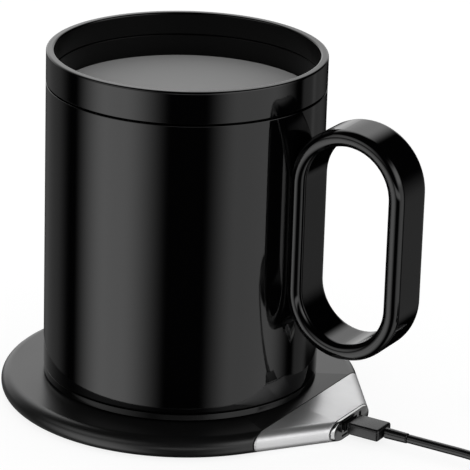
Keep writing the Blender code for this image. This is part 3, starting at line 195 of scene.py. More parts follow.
class MugColours(bpy.types.PropertyGroup):
    """Colours of the finishes, read off the photograph."""

    gloss_black: colour("Gloss black", (0.0008, 0.0008, 0.0009), "Shell, rim and handle")
    liner: colour("Liner", (0.0006, 0.0006, 0.0006), "Inside of the cup")
    lid: colour("Lid", (0.35, 0.35, 0.35), "Drop-in lid")
    base_black: colour("Base black", (0.001, 0.001, 0.001), "Ring under the lower seam")
    coaster_black: colour("Coaster black", (0.0042, 0.0042, 0.0043), "Coaster")
    silver: colour("Silver", (0.68, 0.68, 0.685), "Sleeve round the coaster's tail")
    end_face: colour("End face", (0.55, 0.55, 0.55), "End of the tail")
    plug: colour("Plug", (0.0025, 0.0025, 0.0026), "Grips of both plugs")
    cord: colour("Cord", (0.0025, 0.0025, 0.0027), "Cord and strain reliefs")
    silicone: colour("Silicone", (0.03, 0.03, 0.032), "Pads, feet and seals")
    steel: colour("Steel", (0.6, 0.6, 0.61), "Screws and the far plug's shell")
    brass: colour("Brass", (0.75, 0.56, 0.25), "Contacts and temperature sensor")
    copper: colour("Copper", (0.72, 0.36, 0.2), "Wound coils")
    ferrite: colour("Ferrite", (0.06, 0.058, 0.056), "Ferrite plates and inductor")
    board: colour("Board", (0.02, 0.11, 0.05), "Circuit boards")
    chip: colour("Chip", (0.025, 0.025, 0.027), "Chips on the boards")
    battery: colour("Battery", (0.05, 0.13, 0.32), "Battery wrap")
    felt: colour("Felt", (0.55, 0.52, 0.46), "Heat shield")
    film: colour("Film", (0.45, 0.22, 0.05), "Heating film")
    tongue: colour("Tongue", (0.72, 0.72, 0.7), "Tongue in the far plug")


class StudioSettings(bpy.types.PropertyGroup):
    """Camera and light."""

    camera_place: FloatVectorProperty(name="Camera place", description="Where the camera stands",
                                      default=(0.48936, -0.78874, 0.39495), subtype='TRANSLATION',
                                      unit='LENGTH')
    heading: angle("Heading", 30.80, "Turn of the camera about +Z, from looking along +Y")
    pitch: angle("Pitch", 20.20, "How far the camera looks down")
    roll: angle("Roll", 1.75, "Turn of the camera about its own line of sight")
    lens: FloatProperty(name="Lens", description="Focal length on a 36 mm sensor", default=238.4)
    view_reach: length("View reach", 10.0, "How far the camera sees")
    floor_radius: length("Floor radius", 3.0, "Radius of the floor")
    floor_colour: colour("Floor colour", (0.22, 0.22, 0.22), "What the floor returns of the light")
    floor_glow: FloatProperty(name="Floor glow", description="Light of the floor itself", default=0.85)
    fill: FloatProperty(name="Fill", description="Level of the light from all sides", default=0.95)


# Node helpers

def add_node(tree, kind, inputs=None, **settings):
    """Node with its settings, and its inputs set or linked by name or number."""
    node = tree.nodes.new(kind)
    for key, value in settings.items():
        setattr(node, key, value)
    for key, value in (inputs or {}).items():
        if isinstance(value, bpy.types.NodeSocket):
            tree.links.new(value, node.inputs[key])
        else:
            node.inputs[key].default_value = value
    return node


def calc(tree, operation, *values):
    """Output of a Math node."""
    return add_node(tree, 'ShaderNodeMath', dict(enumerate(values)), operation=operation).outputs[0]


def parts_of(tree, vector):
    """Outputs X, Y and Z of a vector."""
    return add_node(tree, 'ShaderNodeSeparateXYZ', {0: vector}).outputs


def moved(tree, geometry, x, y, z):
    """Geometry whose points are set to new places."""
    place = add_node(tree, 'ShaderNodeCombineXYZ', {"X": x, "Y": y, "Z": z}).outputs[0]
    return add_node(tree, 'GeometryNodeSetPosition', {"Geometry": geometry, "Position": place}).outputs[0]


def remap(tree, value, start, end, bottom=0.0, top=1.0, interpolation='LINEAR'):
    """Value taken from between a start and an end to between a bottom and a top."""
    inputs = {"Value": value, "From Min": start, "From Max": end, "To Min": bottom, "To Max": top}
    return add_node(tree, 'ShaderNodeMapRange', inputs, interpolation_type=interpolation).outputs[0]


def noise(tree, where, scale, detail, distortion=0.0):
    """Height of a noise texture."""
    inputs = {"Vector": where, "Scale": scale, "Detail": detail, "Distortion": distortion}
    return add_node(tree, 'ShaderNodeTexNoise', inputs).outputs[0]


def object_coordinates(tree):
    """Place on the piece, for patterns."""
    return add_node(tree, 'ShaderNodeTexCoord').outputs["Object"]


# Sweeps made by geometry trees

def dressed(tree, geometry, given):
    """Smooth geometry with its instances realized and its material set."""
    smooth = add_node(tree, 'GeometryNodeSetShadeSmooth', {"Geometry": geometry}).outputs[0]
    real = add_node(tree, 'GeometryNodeRealizeInstances', {"Geometry": smooth}).outputs[0]
    inputs = {"Geometry": real, "Material": given["Material"]}
    return {"Geometry": add_node(tree, 'GeometryNodeSetMaterial', inputs).outputs[0]}


def lathe(tree, given):
    """Sweeps a profile in the XZ plane about Z, with two tangents towards +X if a tail angle is given."""
    size = add_node(tree, 'GeometryNodeAttributeDomainSize', {"Geometry": given["Geometry"]})
    count = size.outputs["Point Count"]
    columns = calc(tree, 'ADD', given["Steps"], 1.0)
    grid = add_node(tree, 'GeometryNodeMeshGrid', {"Vertices X": columns, "Vertices Y": count})
    index = add_node(tree, 'GeometryNodeInputIndex').outputs[0]
    column = calc(tree, 'FLOOR', calc(tree, 'DIVIDE', calc(tree, 'ADD', index, 0.5), count))
    row = calc(tree, 'SUBTRACT', index, calc(tree, 'MULTIPLY', column, count))
    place = add_node(tree, 'GeometryNodeInputPosition').outputs[0]
    sample = add_node(tree, 'GeometryNodeSampleIndex',
                      {"Geometry": given["Geometry"], "Value": place, "Index": row},
                      data_type='FLOAT_VECTOR', domain='POINT')
    point = parts_of(tree, sample.outputs["Value"])
    turn = calc(tree, 'MULTIPLY', calc(tree, 'DIVIDE', column, given["Steps"]), math.tau)
    azimuth = calc(tree, 'SUBTRACT', turn, math.pi)
    beyond = calc(tree, 'SUBTRACT', given["Tail Angle"], calc(tree, 'ABSOLUTE', azimuth))
    stretch = calc(tree, 'COSINE', calc(tree, 'MAXIMUM', beyond, 0.0))
    radius = calc(tree, 'DIVIDE', point["X"], stretch)
    x = calc(tree, 'MULTIPLY', radius, calc(tree, 'COSINE', azimuth))
    y = calc(tree, 'MULTIPLY', radius, calc(tree, 'SINE', azimuth))
    surface = moved(tree, grid.outputs["Mesh"], x, y, point["Z"])
    merged = add_node(tree, 'GeometryNodeMergeByDistance', {"Geometry": surface, "Distance": given["Weld"]})
    return dressed(tree, merged.outputs[0], given)


def strap(tree, given):
    """Sweeps a strap's section along a closed path, and seats it on the mug's round shell."""
    section = add_node(tree, 'GeometryNodeMeshToCurve', {"Mesh": given["Geometry"]})
    source = add_node(tree, 'GeometryNodeObjectInfo', {"Object": given["Path"]})
    path = add_node(tree, 'GeometryNodeMeshToCurve', {"Mesh": source.outputs["Geometry"]})
    surface = add_node(tree, 'GeometryNodeCurveToMesh',
                       {"Curve": path.outputs[0], "Profile Curve": section.outputs[0]})
    point = parts_of(tree, add_node(tree, 'GeometryNodeInputPosition').outputs[0])
    span = calc(tree, 'SQRT', calc(tree, 'ADD', calc(tree, 'MULTIPLY', point["X"], point["X"]),
                                   calc(tree, 'MULTIPLY', point["Y"], point["Y"])))
    push = calc(tree, 'MAXIMUM', calc(tree, 'DIVIDE', given["Seat Radius"], span), 1.0)
    seated = moved(tree, surface.outputs[0], calc(tree, 'MULTIPLY', point["X"], push),
                   calc(tree, 'MULTIPLY', point["Y"], push), point["Z"])
    return dressed(tree, seated, given)


# Effects that the finishes share

def gloss_marks(tree, given):
    """Faint waviness and handling marks of a glossy coating."""
    coords = object_coordinates(tree)
    drawn_out = add_node(tree, 'ShaderNodeMapping', {"Vector": coords, "Scale": (1.0, 1.0, 0.08)})
    hair = remap(tree, noise(tree, drawn_out.outputs[0], scale=1500.0, detail=3.0), 0.55, 0.8)
    patch = remap(tree, noise(tree, coords, scale=38.0, detail=4.0), 0.45, 0.75)
    marks = calc(tree, 'MULTIPLY', patch, calc(tree, 'ADD', 0.35, hair))
    return {"Height": noise(tree, coords, scale=420.0, detail=2.0),
            "Roughness": remap(tree, marks, 0.0, 1.0, given["Smooth"], given["Marked"])}


def moulded_grain(tree, given):
    """Spark-eroded grain of moulded plastic and rubber."""
    coords = object_coordinates(tree)
    pits = add_node(tree, 'ShaderNodeTexVoronoi', {"Vector": coords, "Scale": given["Grain Scale"]})
    fine = noise(tree, coords, scale=given["Grain Scale"], detail=3.0)
    return {"Height": calc(tree, 'ADD', pits.outputs["Distance"], fine),
            "Roughness": remap(tree, fine, 0.3, 0.7, given["Low"], given["High"]),
            "Tone": noise(tree, coords, scale=90.0, detail=3.0)}


def brushed_metal(tree, given):
    """Fine brushing of metal along one direction."""
    coords = object_coordinates(tree)
    along = add_node(tree, 'ShaderNodeVectorMath', {0: coords, 1: given["Stretch"]}, operation='MULTIPLY')
    lines = noise(tree, along.outputs[0], scale=5200.0, detail=3.0)
    return {"Height": lines, "Roughness": remap(tree, lines, 0.3, 0.7, given["Low"], given["High"]),
            "Tone": noise(tree, coords, scale=120.0, detail=2.0)}


def dust_specks(tree, given):
    """Sparse specks of dust."""
    inputs = {"Vector": object_coordinates(tree), "Scale": given["Speck Scale"]}
    cells = add_node(tree, 'ShaderNodeTexVoronoi', inputs).outputs
    chance = add_node(tree, 'ShaderNodeSeparateColor', {0: cells["Color"]}).outputs[0]
    near = calc(tree, 'LESS_THAN', cells["Distance"], given["Size"])
    return {"Mask": calc(tree, 'MULTIPLY', near, calc(tree, 'GREATER_THAN', chance, 0.9))}


# Each group's maker and its inputs, given by their type, or by their default where they have one
GEOMETRY_GROUPS = {
    "Lathe": (lathe, {
        "Geometry": 'NodeSocketGeometry', "Steps": 'NodeSocketInt', "Tail Angle": 'NodeSocketFloat',
        "Weld": 'NodeSocketFloat', "Material": 'NodeSocketMaterial'}),
    "Strap": (strap, {
        "Geometry": 'NodeSocketGeometry', "Path": 'NodeSocketObject', "Seat Radius": 'NodeSocketFloat',
        "Material": 'NodeSocketMaterial'}),
}
SHADER_GROUPS = {
    "Gloss marks": (gloss_marks, {"Smooth": 0.05, "Marked": 0.1}),
    "Moulded grain": (moulded_grain, {"Grain Scale": 2600.0, "Low": 0.3, "High": 0.45}),
    "Brushed metal": (brushed_metal, {"Stretch": (1.0, 0.03, 1.0), "Low": 0.2, "High": 0.35}),
    "Dust specks": (dust_specks, {"Speck Scale": 380.0, "Size": 0.06}),
}
SOCKET_TYPES = {float: 'NodeSocketFloat', tuple: 'NodeSocketVector'}
GROUPS = {}


def group(name):
    """Shared node group, built the first time it is asked for."""
    if name in GROUPS:
        return GROUPS[name]
    shades = name in SHADER_GROUPS
    make, inputs = SHADER_GROUPS[name] if shades else GEOMETRY_GROUPS[name]
    tree = bpy.data.node_groups.new(name, 'ShaderNodeTree' if shades else 'GeometryNodeTree')
    for label, given in inputs.items():
        kind = SOCKET_TYPES.get(type(given), given)
        socket = tree.interface.new_socket(name=label, in_out='INPUT', socket_type=kind)
        if kind != given:
            socket.default_value = given
    results = make(tree, tree.nodes.new('NodeGroupInput').outputs)
    for label in results:
        tree.interface.new_socket(name=label, in_out='OUTPUT',
                                  socket_type='NodeSocketFloat' if shades else 'NodeSocketGeometry')
    add_node(tree, 'NodeGroupOutput', results)
    GROUPS[name] = tree
    return tree


# Materials

MATERIALS = {}


def new_material(name, **sockets):
    """Material with its Principled shader's plain sockets set by name."""
    material = bpy.data.materials.new(name)
    material.use_nodes = True
    MATERIALS[name] = material
    tree = material.node_tree
    shader = tree.nodes["Principled BSDF"]
    for key, value in sockets.items():
        shader.inputs[key.replace("_", " ")].default_value = value
    return tree, shader


def effect(tree, name, **values):
    """Outputs of a shared group, used with this material's own values."""
    inputs = {key.replace("_", " "): value for key, value in values.items()}
    return add_node(tree, 'ShaderNodeGroup', inputs, node_tree=group(name)).outputs


def tone(name, factor=1.0):
    """One of the panel's colours, made darker or lighter."""
    return tuple(min(1.0, channel * factor) for channel in getattr(bpy.context.scene.mug_colours, name))


def tint(tree, shader, base, other, mask):
    """Base colour that shifts to another by a mask."""
    mix = add_node(tree, 'ShaderNodeMix', {"Factor": mask, "A": (*base, 1.0), "B": (*other, 1.0)},
                   data_type='RGBA')
    tree.links.new(mix.outputs["Result"], shader.inputs["Base Color"])


def relief(tree, shader, height, depth, strength, roughness=None):
    """Bump that feeds the shader's normal, with the roughness that goes with it."""
    inputs = {"Height": height, "Strength": strength, "Distance": depth}
    tree.links.new(add_node(tree, 'ShaderNodeBump', inputs).outputs[0], shader.inputs["Normal"])
    if roughness:
        tree.links.new(roughness, shader.inputs["Roughness"])


def gloss(name, base, smooth, marked, dust_tone=6.0, **sockets):
    """Glossy coating with faint waviness, handling marks and a little dust."""
    tree, shader = new_material(name, **sockets)
    marks = effect(tree, "Gloss marks", Smooth=smooth, Marked=marked)
    tint(tree, shader, tone(base), tone(base, dust_tone), effect(tree, "Dust specks")["Mask"])
    relief(tree, shader, marks["Height"], WAVE_DEPTH, strength=0.02, roughness=marks["Roughness"])


def moulded(name, base, low_rough, high_rough, scale=2600.0, depth=GRAIN_DEPTH, level=1.0):
    """Moulded plastic or rubber with a fine grain."""
    tree, shader = new_material(name)
    grain = effect(tree, "Moulded grain", Grain_Scale=scale, Low=low_rough, High=high_rough)
    tint(tree, shader, tone(base, 0.85 * level), tone(base, 1.2 * level), grain["Tone"])
    relief(tree, shader, grain["Height"], depth, strength=0.2, roughness=grain["Roughness"])


def metal(name, base, low_rough, high_rough, stretch=(0.03, 1.0, 1.0), level=1.0, metallic=1.0):
    """Brushed metal."""
    tree, shader = new_material(name, Metallic=metallic)
    lines = effect(tree, "Brushed metal", Stretch=stretch, Low=low_rough, High=high_rough)
    tint(tree, shader, tone(base, 0.96 * level), tone(base, 1.04 * level), lines["Tone"])
    relief(tree, shader, lines["Height"], BRUSH_DEPTH, strength=0.1, roughness=lines["Roughness"])


def wound_wire(name, base):
    """Enamelled wire wound in a flat spiral, as rings of light and dark."""
    tree, shader = new_material(name, Metallic=0.9)
    inputs = {"Vector": object_coordinates(tree), "Scale": 400.0, "Distortion": 0.3}
    rings = add_node(tree, 'ShaderNodeTexWave', inputs, wave_type='RINGS', rings_direction='Z')
    height = rings.outputs["Fac"]
    tint(tree, shader, tone(base, 0.45), tone(base), height)
    rough = remap(tree, height, 0.0, 1.0, bottom=0.28, top=0.5)
    relief(tree, shader, height, WIRE_DEPTH, strength=0.6, roughness=rough)


def circuit_board(name, base):
    """Circuit board with lighter tracks under its green mask."""
    tree, shader = new_material(name)
    tracks = add_node(tree, 'ShaderNodeTexBrick', {
        "Vector": object_coordinates(tree), "Scale": 180.0, "Mortar Size": 0.06, "Color1": (0, 0, 0, 1),
        "Color2": (0.1, 0.1, 0.1, 1), "Mortar": (1, 1, 1, 1)}).outputs
    grain = effect(tree, "Moulded grain", Grain_Scale=1800.0, Low=0.3, High=0.45)
    tint(tree, shader, tone(base), tone(base, 2.2), tracks["Color"])
    relief(tree, shader, tracks["Fac"], TRACK_DEPTH, strength=0.3, roughness=grain["Roughness"])


def felt(name, base):
    """Fibre felt with soft tone and a rough nap."""
    tree, shader = new_material(name, Sheen_Weight=0.3, Roughness=0.95)
    fibres = noise(tree, object_coordinates(tree), scale=900.0, detail=6.0, distortion=1.5)
    tint(tree, shader, tone(base, 0.7), tone(base, 1.2), fibres)
    relief(tree, shader, fibres, FELT_DEPTH, strength=0.7)


def build_materials():
    """All finishes of the mug, coaster and lead, each with its colour and its range of roughness."""
    gloss("gloss_black", "gloss_black", 0.045, 0.11)
    gloss("coaster_satin", "coaster_black", 0.3, 0.38, dust_tone=2.5)
    gloss("cup_liner", "liner", 0.3, 0.4, Specular_IOR_Level=0.2)
    gloss("lid_satin", "lid", 0.5, 0.6, dust_tone=1.3, Specular_IOR_Level=0.03)
    gloss("base_gloss", "base_black", 0.1, 0.18, Specular_IOR_Level=0.36)
    metal("silver_sleeve", "silver", 0.34, 0.44, stretch=(0.04, 1.0, 1.0), metallic=0.85)
    metal("end_face_metal", "end_face", 0.08, 0.16, stretch=(0.3, 1.0, 1.0))
    metal("bright_steel", "steel", 0.22, 0.34)
    metal("turned_aluminium", "steel", 0.3, 0.45, level=1.15)
    metal("plated_brass", "brass", 0.2, 0.3)
    moulded("socket_dark", "gloss_black", 0.4, 0.55)
    moulded("plug_satin", "plug", 0.25, 0.38)
    moulded("cord_jacket", "cord", 0.16, 0.26, scale=3200.0, depth=JACKET_DEPTH)
    moulded("silicone_matte", "silicone", 0.55, 0.7, scale=1800.0)
    moulded("matte_black", "gloss_black", 0.45, 0.6, level=2.5)
    moulded("ferrite_grey", "ferrite", 0.6, 0.8, scale=1500.0)
    moulded("chip_black", "chip", 0.45, 0.6, scale=2200.0)
    moulded("battery_wrap", "battery", 0.3, 0.45, scale=700.0, depth=WRAP_DEPTH)
    moulded("heater_film", "film", 0.25, 0.4, scale=900.0)
    moulded("usb_tongue", "tongue", 0.4, 0.55)
    wound_wire("wound_copper", "copper")
    circuit_board("board_green", "board")
    felt("insulation_felt", "felt")


# Mesh helpers

@contextmanager
def edited(mesh):
    """Mesh opened for editing, and written back at the end."""
    shape = bmesh.new()
    shape.from_mesh(mesh)
    yield shape
    shape.to_mesh(mesh)
    shape.free()


def place_object(name, data):
    """Object for a mesh or curve, at the origin."""
    made = bpy.data.objects.new(name, data)
    bpy.context.scene.collection.objects.link(made)
    return made


def outline(corners, segments=8, closed=True):
    """Line through corners, each a place and, where an arc rounds it, a radius."""
    result = []
    count = len(corners)
    for index, (x, z, *rounding) in enumerate(corners):
        corner = Vector((x, z))
        radius = rounding[0] if rounding else 0.0
        if not radius:
            result.append(corner)
            continue
        before = (Vector(corners[index - 1][:2]) - corner).normalized()
        after = (Vector(corners[(index + 1) % count][:2]) - corner).normalized()
        half = before.angle(after) / 2
        reach = radius / math.tan(half)
        centre = corner + (before + after).normalized() * radius / math.sin(half)
        start = corner + before * reach - centre
        end = corner + after * reach - centre
        first = math.atan2(start.y, start.x)
        turn = math.remainder(math.atan2(end.y, end.x) - first, math.tau)
        result.append(corner + before * (reach + HOLD))
        for step in range(segments + 1):
            at = first + turn * step / segments
            result.append(centre + Vector((radius * math.cos(at), radius * math.sin(at))))
        result.append(corner + after * (reach + HOLD))
    if closed:
        result.append(result[0])
    return result


def line_object(points, closed=False):
    """Object of a line through points."""
    count = len(points)
    edges = [(index, (index + 1) % count) for index in range(count if closed else count - 1)]
    mesh = bpy.data.meshes.new("line")
    mesh.from_pydata(points, edges, [])
    return place_object("line", mesh)


def evaluated_mesh(source):
    """Plain mesh of an object with its modifiers; the object is removed."""
    bpy.context.view_layer.update()
    ready = source.evaluated_get(bpy.context.evaluated_depsgraph_get())
    mesh = bpy.data.meshes.new_from_object(ready)
    bpy.data.objects.remove(source)
    return mesh


def tidy_mesh(mesh, recalculate=True):
    """Doubles merged, normals outward, smooth with its sharp edges kept."""
    with edited(mesh) as shape:
        bmesh.ops.remove_doubles(shape, verts=shape.verts, dist=WELD)
        bmesh.ops.dissolve_degenerate(shape, edges=shape.edges, dist=WELD)
        if recalculate:
            bmesh.ops.recalc_face_normals(shape, faces=shape.faces)
    mesh.shade_smooth()
    mesh.set_sharp_from_angle(angle=SHARP_ANGLE)
    return mesh


def swept(source, tree_name, values):
    """Mesh that a geometry tree makes from an object's line."""
    tree = group(tree_name)
    modifier = source.modifiers.new(tree_name, 'NODES')
    modifier.node_group = tree
    for item in tree.interface.items_tree:
        if item.in_out == 'INPUT' and item.name in values:
            modifier[item.identifier] = values[item.name]
    return tidy_mesh(evaluated_mesh(source))


def turned(profile, finish, tail=0.0, steps=None):
    """Turned mesh from a profile, or the like of it with the coaster's tail."""
    source = line_object([(x, 0.0, z) for x, z in profile])
    return swept(source, "Lathe", {"Steps": steps or bpy.context.scene.mug_sizes.steps, "Tail Angle": tail,
                                   "Weld": WELD, "Material": MATERIALS[finish]})


def cut(mesh, cutters):
    """Mesh after cutters are taken out of it."""
    piece = place_object("cut", mesh)
    tools = [place_object("cutter", cutter) for cutter in cutters]
    for tool in tools:
        step = piece.modifiers.new("cut", 'BOOLEAN')
        step.operation = 'DIFFERENCE'
        step.solver = 'EXACT'
        step.object = tool
    result = evaluated_mesh(piece)
    for tool in tools:
        bpy.data.objects.remove(tool)
    return tidy_mesh(result, recalculate=False)


def block(low_corner, high_corner, edge=0, segments=5):
    """Mesh of a box, whose edges may be rounded."""
    mesh = bpy.data.meshes.new("block")
    with edited(mesh) as shape:
        bmesh.ops.create_cube(shape, size=1.0)
        size = Vector(high_corner) - Vector(low_corner)
        bmesh.ops.scale(shape, vec=size, verts=shape.verts)
        bmesh.ops.translate(shape, vec=(Vector(low_corner) + Vector(high_corner)) / 2, verts=shape.verts)
        if edge:
            bmesh.ops.bevel(shape, geom=shape.edges, offset=edge, segments=segments, profile=0.5,
                            affect='EDGES')
    return mesh


def bar(radius, start, end, segments=48):
    """Mesh of a round bar between two points."""
    start = Vector(start)
    end = Vector(end)
    turn = (end - start).to_track_quat('Z', 'Y').to_matrix().to_4x4()
    mesh = bpy.data.meshes.new("bar")
    with edited(mesh) as shape:
        bmesh.ops.create_cone(shape, cap_ends=True, segments=segments, radius1=radius, radius2=radius,
                              depth=(end - start).length,
                              matrix=Matrix.Translation((start + end) / 2) @ turn)
    return mesh


def show(name, mesh, finish, body, *nodes):
    """Finished piece: dressed, riding on its body and standing for its nodes."""
    mesh.name = name
    mesh.materials.clear()
    mesh.materials.append(MATERIALS[finish])
    piece = place_object(name, mesh)
    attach(piece, body)
    if nodes:
        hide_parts(*nodes)
    return piece


# Mug

# How squarely a face of the rim looks at the axis, from where it takes the liner's finish
INWARD_SHARE = 0.9
# Radius of a handle screw's shank as a share of its head's
SHANK_SHARE = 0.5
STRAP_ARC_STEPS = 40
STRAP_RUN_STEPS = 6


def shell_section(sizes):
    """Closed section of the outer shell, with its edges rounded at the seams."""
    outer, bottom, top = extent("outer_shell")
    inner = outer - sizes.shell_wall
    return outline([(inner, bottom), (inner, top), (outer, top, sizes.seam_rounding),
                    (outer, bottom, sizes.shell_foot_rounding)], segments=6)


def collar_section(sizes):
    """Closed section of the band above the upper seam, with the flat rim."""
    outer, bottom, top = extent("rim_collar")
    inner = outer - sizes.rim_wall
    skirt = inner + sizes.liner_wall + sizes.clearance
    step = bottom + sizes.skirt_depth
    edge = sizes.seam_rounding
    rim = sizes.rim_rounding
    return outline([(inner, step, edge), (inner, top, rim), (outer, top, rim), (outer, bottom, edge),
                    (skirt, bottom), (skirt, step)])


def cup_section(sizes):
    """Open section of the inner cup, from the axis up its inside and back down its outside."""
    outer, under, top = extent("inner_cup")
    wall = sizes.liner_wall
    floor = under + wall
    inner = high("rim_collar").x - sizes.rim_wall
    narrow = inner - sizes.ledge_width
    ledge = low("lid_disc").z - sizes.clearance
    corner = sizes.cup_corner
    edge = sizes.seam_rounding
    return outline([
        (0, floor), (narrow, floor, corner), (narrow, ledge, edge), (inner, ledge, edge), (inner, top, edge),
        (outer, top), (outer, ledge - wall), (narrow + wall, ledge - wall),
        (narrow + wall, under, corner + wall), (0, under)], closed=False)


class MUG_OT_shell(bpy.types.Operator):
    """Outer shell, rim band and inner cup"""

    bl_idname = "mug.shell"
    bl_label = "Shell, rim and cup"

    def execute(self, context):
        sizes = context.scene.mug_sizes
        head = span("handle_screw_1").y / 2
        bore = head * SHANK_SHARE + sizes.clearance
        behind = high("outer_shell").x - 2 * sizes.shell_wall
        seat = high("handle_screw_1").x
        holes = []
        for node in ("handle_screw_1", "handle_screw_2"):
            height = middle(node).z
            holes.append(bar(bore, (behind, 0, height), (seat, 0, height)))
        shell = cut(turned(shell_section(sizes), "gloss_black"), holes)
        show("outer_shell_visual", shell, "gloss_black", "mug", "outer_shell")
        collar = turned(collar_section(sizes), "gloss_black")
        piece = show("rim_collar_visual", collar, "gloss_black", "mug", "rim_collar")
        piece.data.materials.append(MATERIALS["cup_liner"])
        for face in piece.data.polygons:
            face.material_index = int(face.normal.xy.dot(face.center.xy.normalized()) < -INWARD_SHARE)
        cup = turned(cup_section(sizes), "cup_liner")
        show("inner_cup_visual", cup, "cup_liner", "mug", "inner_cup")
        return {'FINISHED'}


def strap_path(sizes):
    """Mid-line of the handle's strap: upright runs joined by half circles, in the XZ plane."""
    reach, bottom, top = extent("handle_loop")
    depth = reach - (high("outer_shell").x - sizes.strap_sink)
    radius = (depth - sizes.strap_thickness) / 2
    across = reach - depth / 2
    ends = (top - depth / 2, bottom + depth / 2)
    points = []
    for end, centre in enumerate(ends):
        first = math.pi * end
        for step in range(STRAP_ARC_STEPS + 1):
            at = first + math.pi * step / STRAP_ARC_STEPS
            points.append((across + radius * math.cos(at), 0.0, centre + radius * math.sin(at)))
        side = across + radius * (2 * end - 1)
        rise = ends[1 - end] - centre
        for step in range(1, STRAP_RUN_STEPS):
            points.append((side, 0.0, centre + rise * step / STRAP_RUN_STEPS))
    return points


class MUG_OT_handle(bpy.types.Operator):
    """Strap handle bent to a racetrack loop"""

    bl_idname = "mug.handle"
    bl_label = "Handle"

    def execute(self, context):
        sizes = context.scene.mug_sizes
        wide = high("handle_loop").y
        thick = sizes.strap_thickness / 2
        edge = sizes.strap_edge
        corners = [(-wide, -thick, edge), (-wide, thick, edge), (wide, thick, edge), (wide, -thick, edge)]
        section = outline(corners, segments=7, closed=False)
        path = line_object(strap_path(sizes), closed=True)
        loop = swept(line_object([(x, y, 0.0) for x, y in section], closed=True), "Strap", {
            "Path": path, "Seat Radius": high("outer_shell").x + sizes.strap_seat,
            "Material": MATERIALS["gloss_black"]})
        bpy.data.objects.remove(path)
        show("handle_loop_visual", loop, "gloss_black", "mug", "handle_loop")
        return {'FINISHED'}


class MUG_OT_base(bpy.types.Operator):
    """Base cap, whose edge is the ring under the lower seam"""

    bl_idname = "mug.base"
    bl_label = "Base cap"

    def execute(self, context):
        sizes = context.scene.mug_sizes
        gap = sizes.clearance
        edge = sizes.seam_rounding
        ring, bottom, upstand_top = extent("base_cap")
        ring_top = low("outer_shell").z - 2 * gap
        floor_top = low("receive_coil").z - gap
        outer = high("outer_shell").x - sizes.shell_wall - gap
        inner = high("carrier").x + gap
        foot_outer = high("foot_ring").x + gap
        foot_inner = middle("base_screw_1").xy.length * 2 - high("foot_ring").x - gap
        ceiling = high("foot_ring").z + gap
        hole = high("power_button").x - sizes.button_flange + gap
        gasket, gasket_low, gasket_high = extent("base_gasket")
        groove = gasket - (gasket_high - gasket_low)
        groove_low = gasket_low - gap
        groove_high = gasket_high + gap
        cap = turned(outline([
            (hole, bottom, edge), (hole, floor_top), (inner, floor_top), (inner, upstand_top),
            (outer, upstand_top), (outer, groove_high), (groove, groove_high), (groove, groove_low),
            (outer, groove_low), (outer, ring_top), (ring - sizes.ring_taper, ring_top, sizes.ring_rounding),
            (ring, bottom, sizes.base_rounding), (foot_outer, bottom, edge), (foot_outer, ceiling),
            (foot_inner, ceiling), (foot_inner, bottom, edge)], segments=5), "base_gloss")
        bore = span("base_screw_1").x / 2 + gap
        holes = []
        for index in range(1, 4):
            x, y = middle(f"base_screw_{index}").xy
            holes.append(bar(bore, (x, y, bottom), (x, y, floor_top + OVERRUN)))
        show("base_cap_visual", cut(cap, holes), "base_gloss", "mug", "base_cap")
        return {'FINISHED'}


class MUG_OT_lid(bpy.types.Operator):
    """Drop-in lid with its sip opening and vent"""

    bl_idname = "mug.lid"
    bl_label = "Lid"

    def execute(self, context):
        sizes = context.scene.mug_sizes
        radius, bottom, top = extent("lid_disc")
        plate_bottom = bottom + sizes.lid_hub
        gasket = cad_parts["lid_gasket"].data.vertices
        hub = min(vertex.co.xy.length for vertex in gasket) - sizes.clearance
        edge = sizes.lid_edge
        lid = turned(outline([(0, top), (radius, top, edge), (radius, plate_bottom), (hub, plate_bottom),
                              (hub, bottom, edge), (0, bottom)], segments=5, closed=False), "lid_satin")
        under = bottom - OVERRUN
        over = top + OVERRUN
        sip_y = sizes.sip_inset - radius
        half = sizes.sip_width / 2
        reach = sizes.sip_length / 2 - half
        vent_y = sip_y + sizes.vent_behind_sip
        cutters = [block((-reach, sip_y - half, under), (reach, sip_y + half, over))]
        for x in (-reach, reach):
            cutters.append(bar(half, (x, sip_y, under), (x, sip_y, over)))
        vent_x = sizes.vent_aside
        cutters.append(bar(sizes.vent_radius, (vent_x, vent_y, under), (vent_x, vent_y, over), segments=32))
        show("lid_disc_visual", cut(lid, cutters), "lid_satin", "lid", "lid_disc")
        return {'FINISHED'}


# Coaster

def round_edged(sizes, inset=0.0):
    """Section of the full-round body from the axis out over its edge and back, set in by a wall."""
    top = high("coaster_housing").z - inset
    bottom = low("coaster_housing").z + inset
    radius = -low("coaster_housing").x - inset - WELD
    edge = (top - bottom - sizes.edge_land) / 2
    return outline([(0, top), (radius, top, edge), (radius, bottom, edge), (0, bottom)], segments=12,
                   closed=False)


def with_tail(sizes, profile, finish):
    """Round body whose circle runs out into the tail's two straight flanks."""
    reach = high("socket_block").x
    half = sizes.tail_half_width
    tail = math.atan2(half, reach) + math.acos(-low("coaster_housing").x / math.hypot(reach, half))
    return turned(profile, finish, tail, sizes.steps)


def sliced(mesh, x, keep_low):
    """Cuts a mesh at a plane across the tail, keeps one side and leaves the cut open."""
    with edited(mesh) as shape:
        geometry = shape.verts[:] + shape.edges[:] + shape.faces[:]
        bmesh.ops.bisect_plane(shape, geom=geometry, plane_co=(x, 0, 0), plane_no=(1, 0, 0),
                               clear_outer=keep_low, clear_inner=not keep_low, dist=WELD)
    return mesh


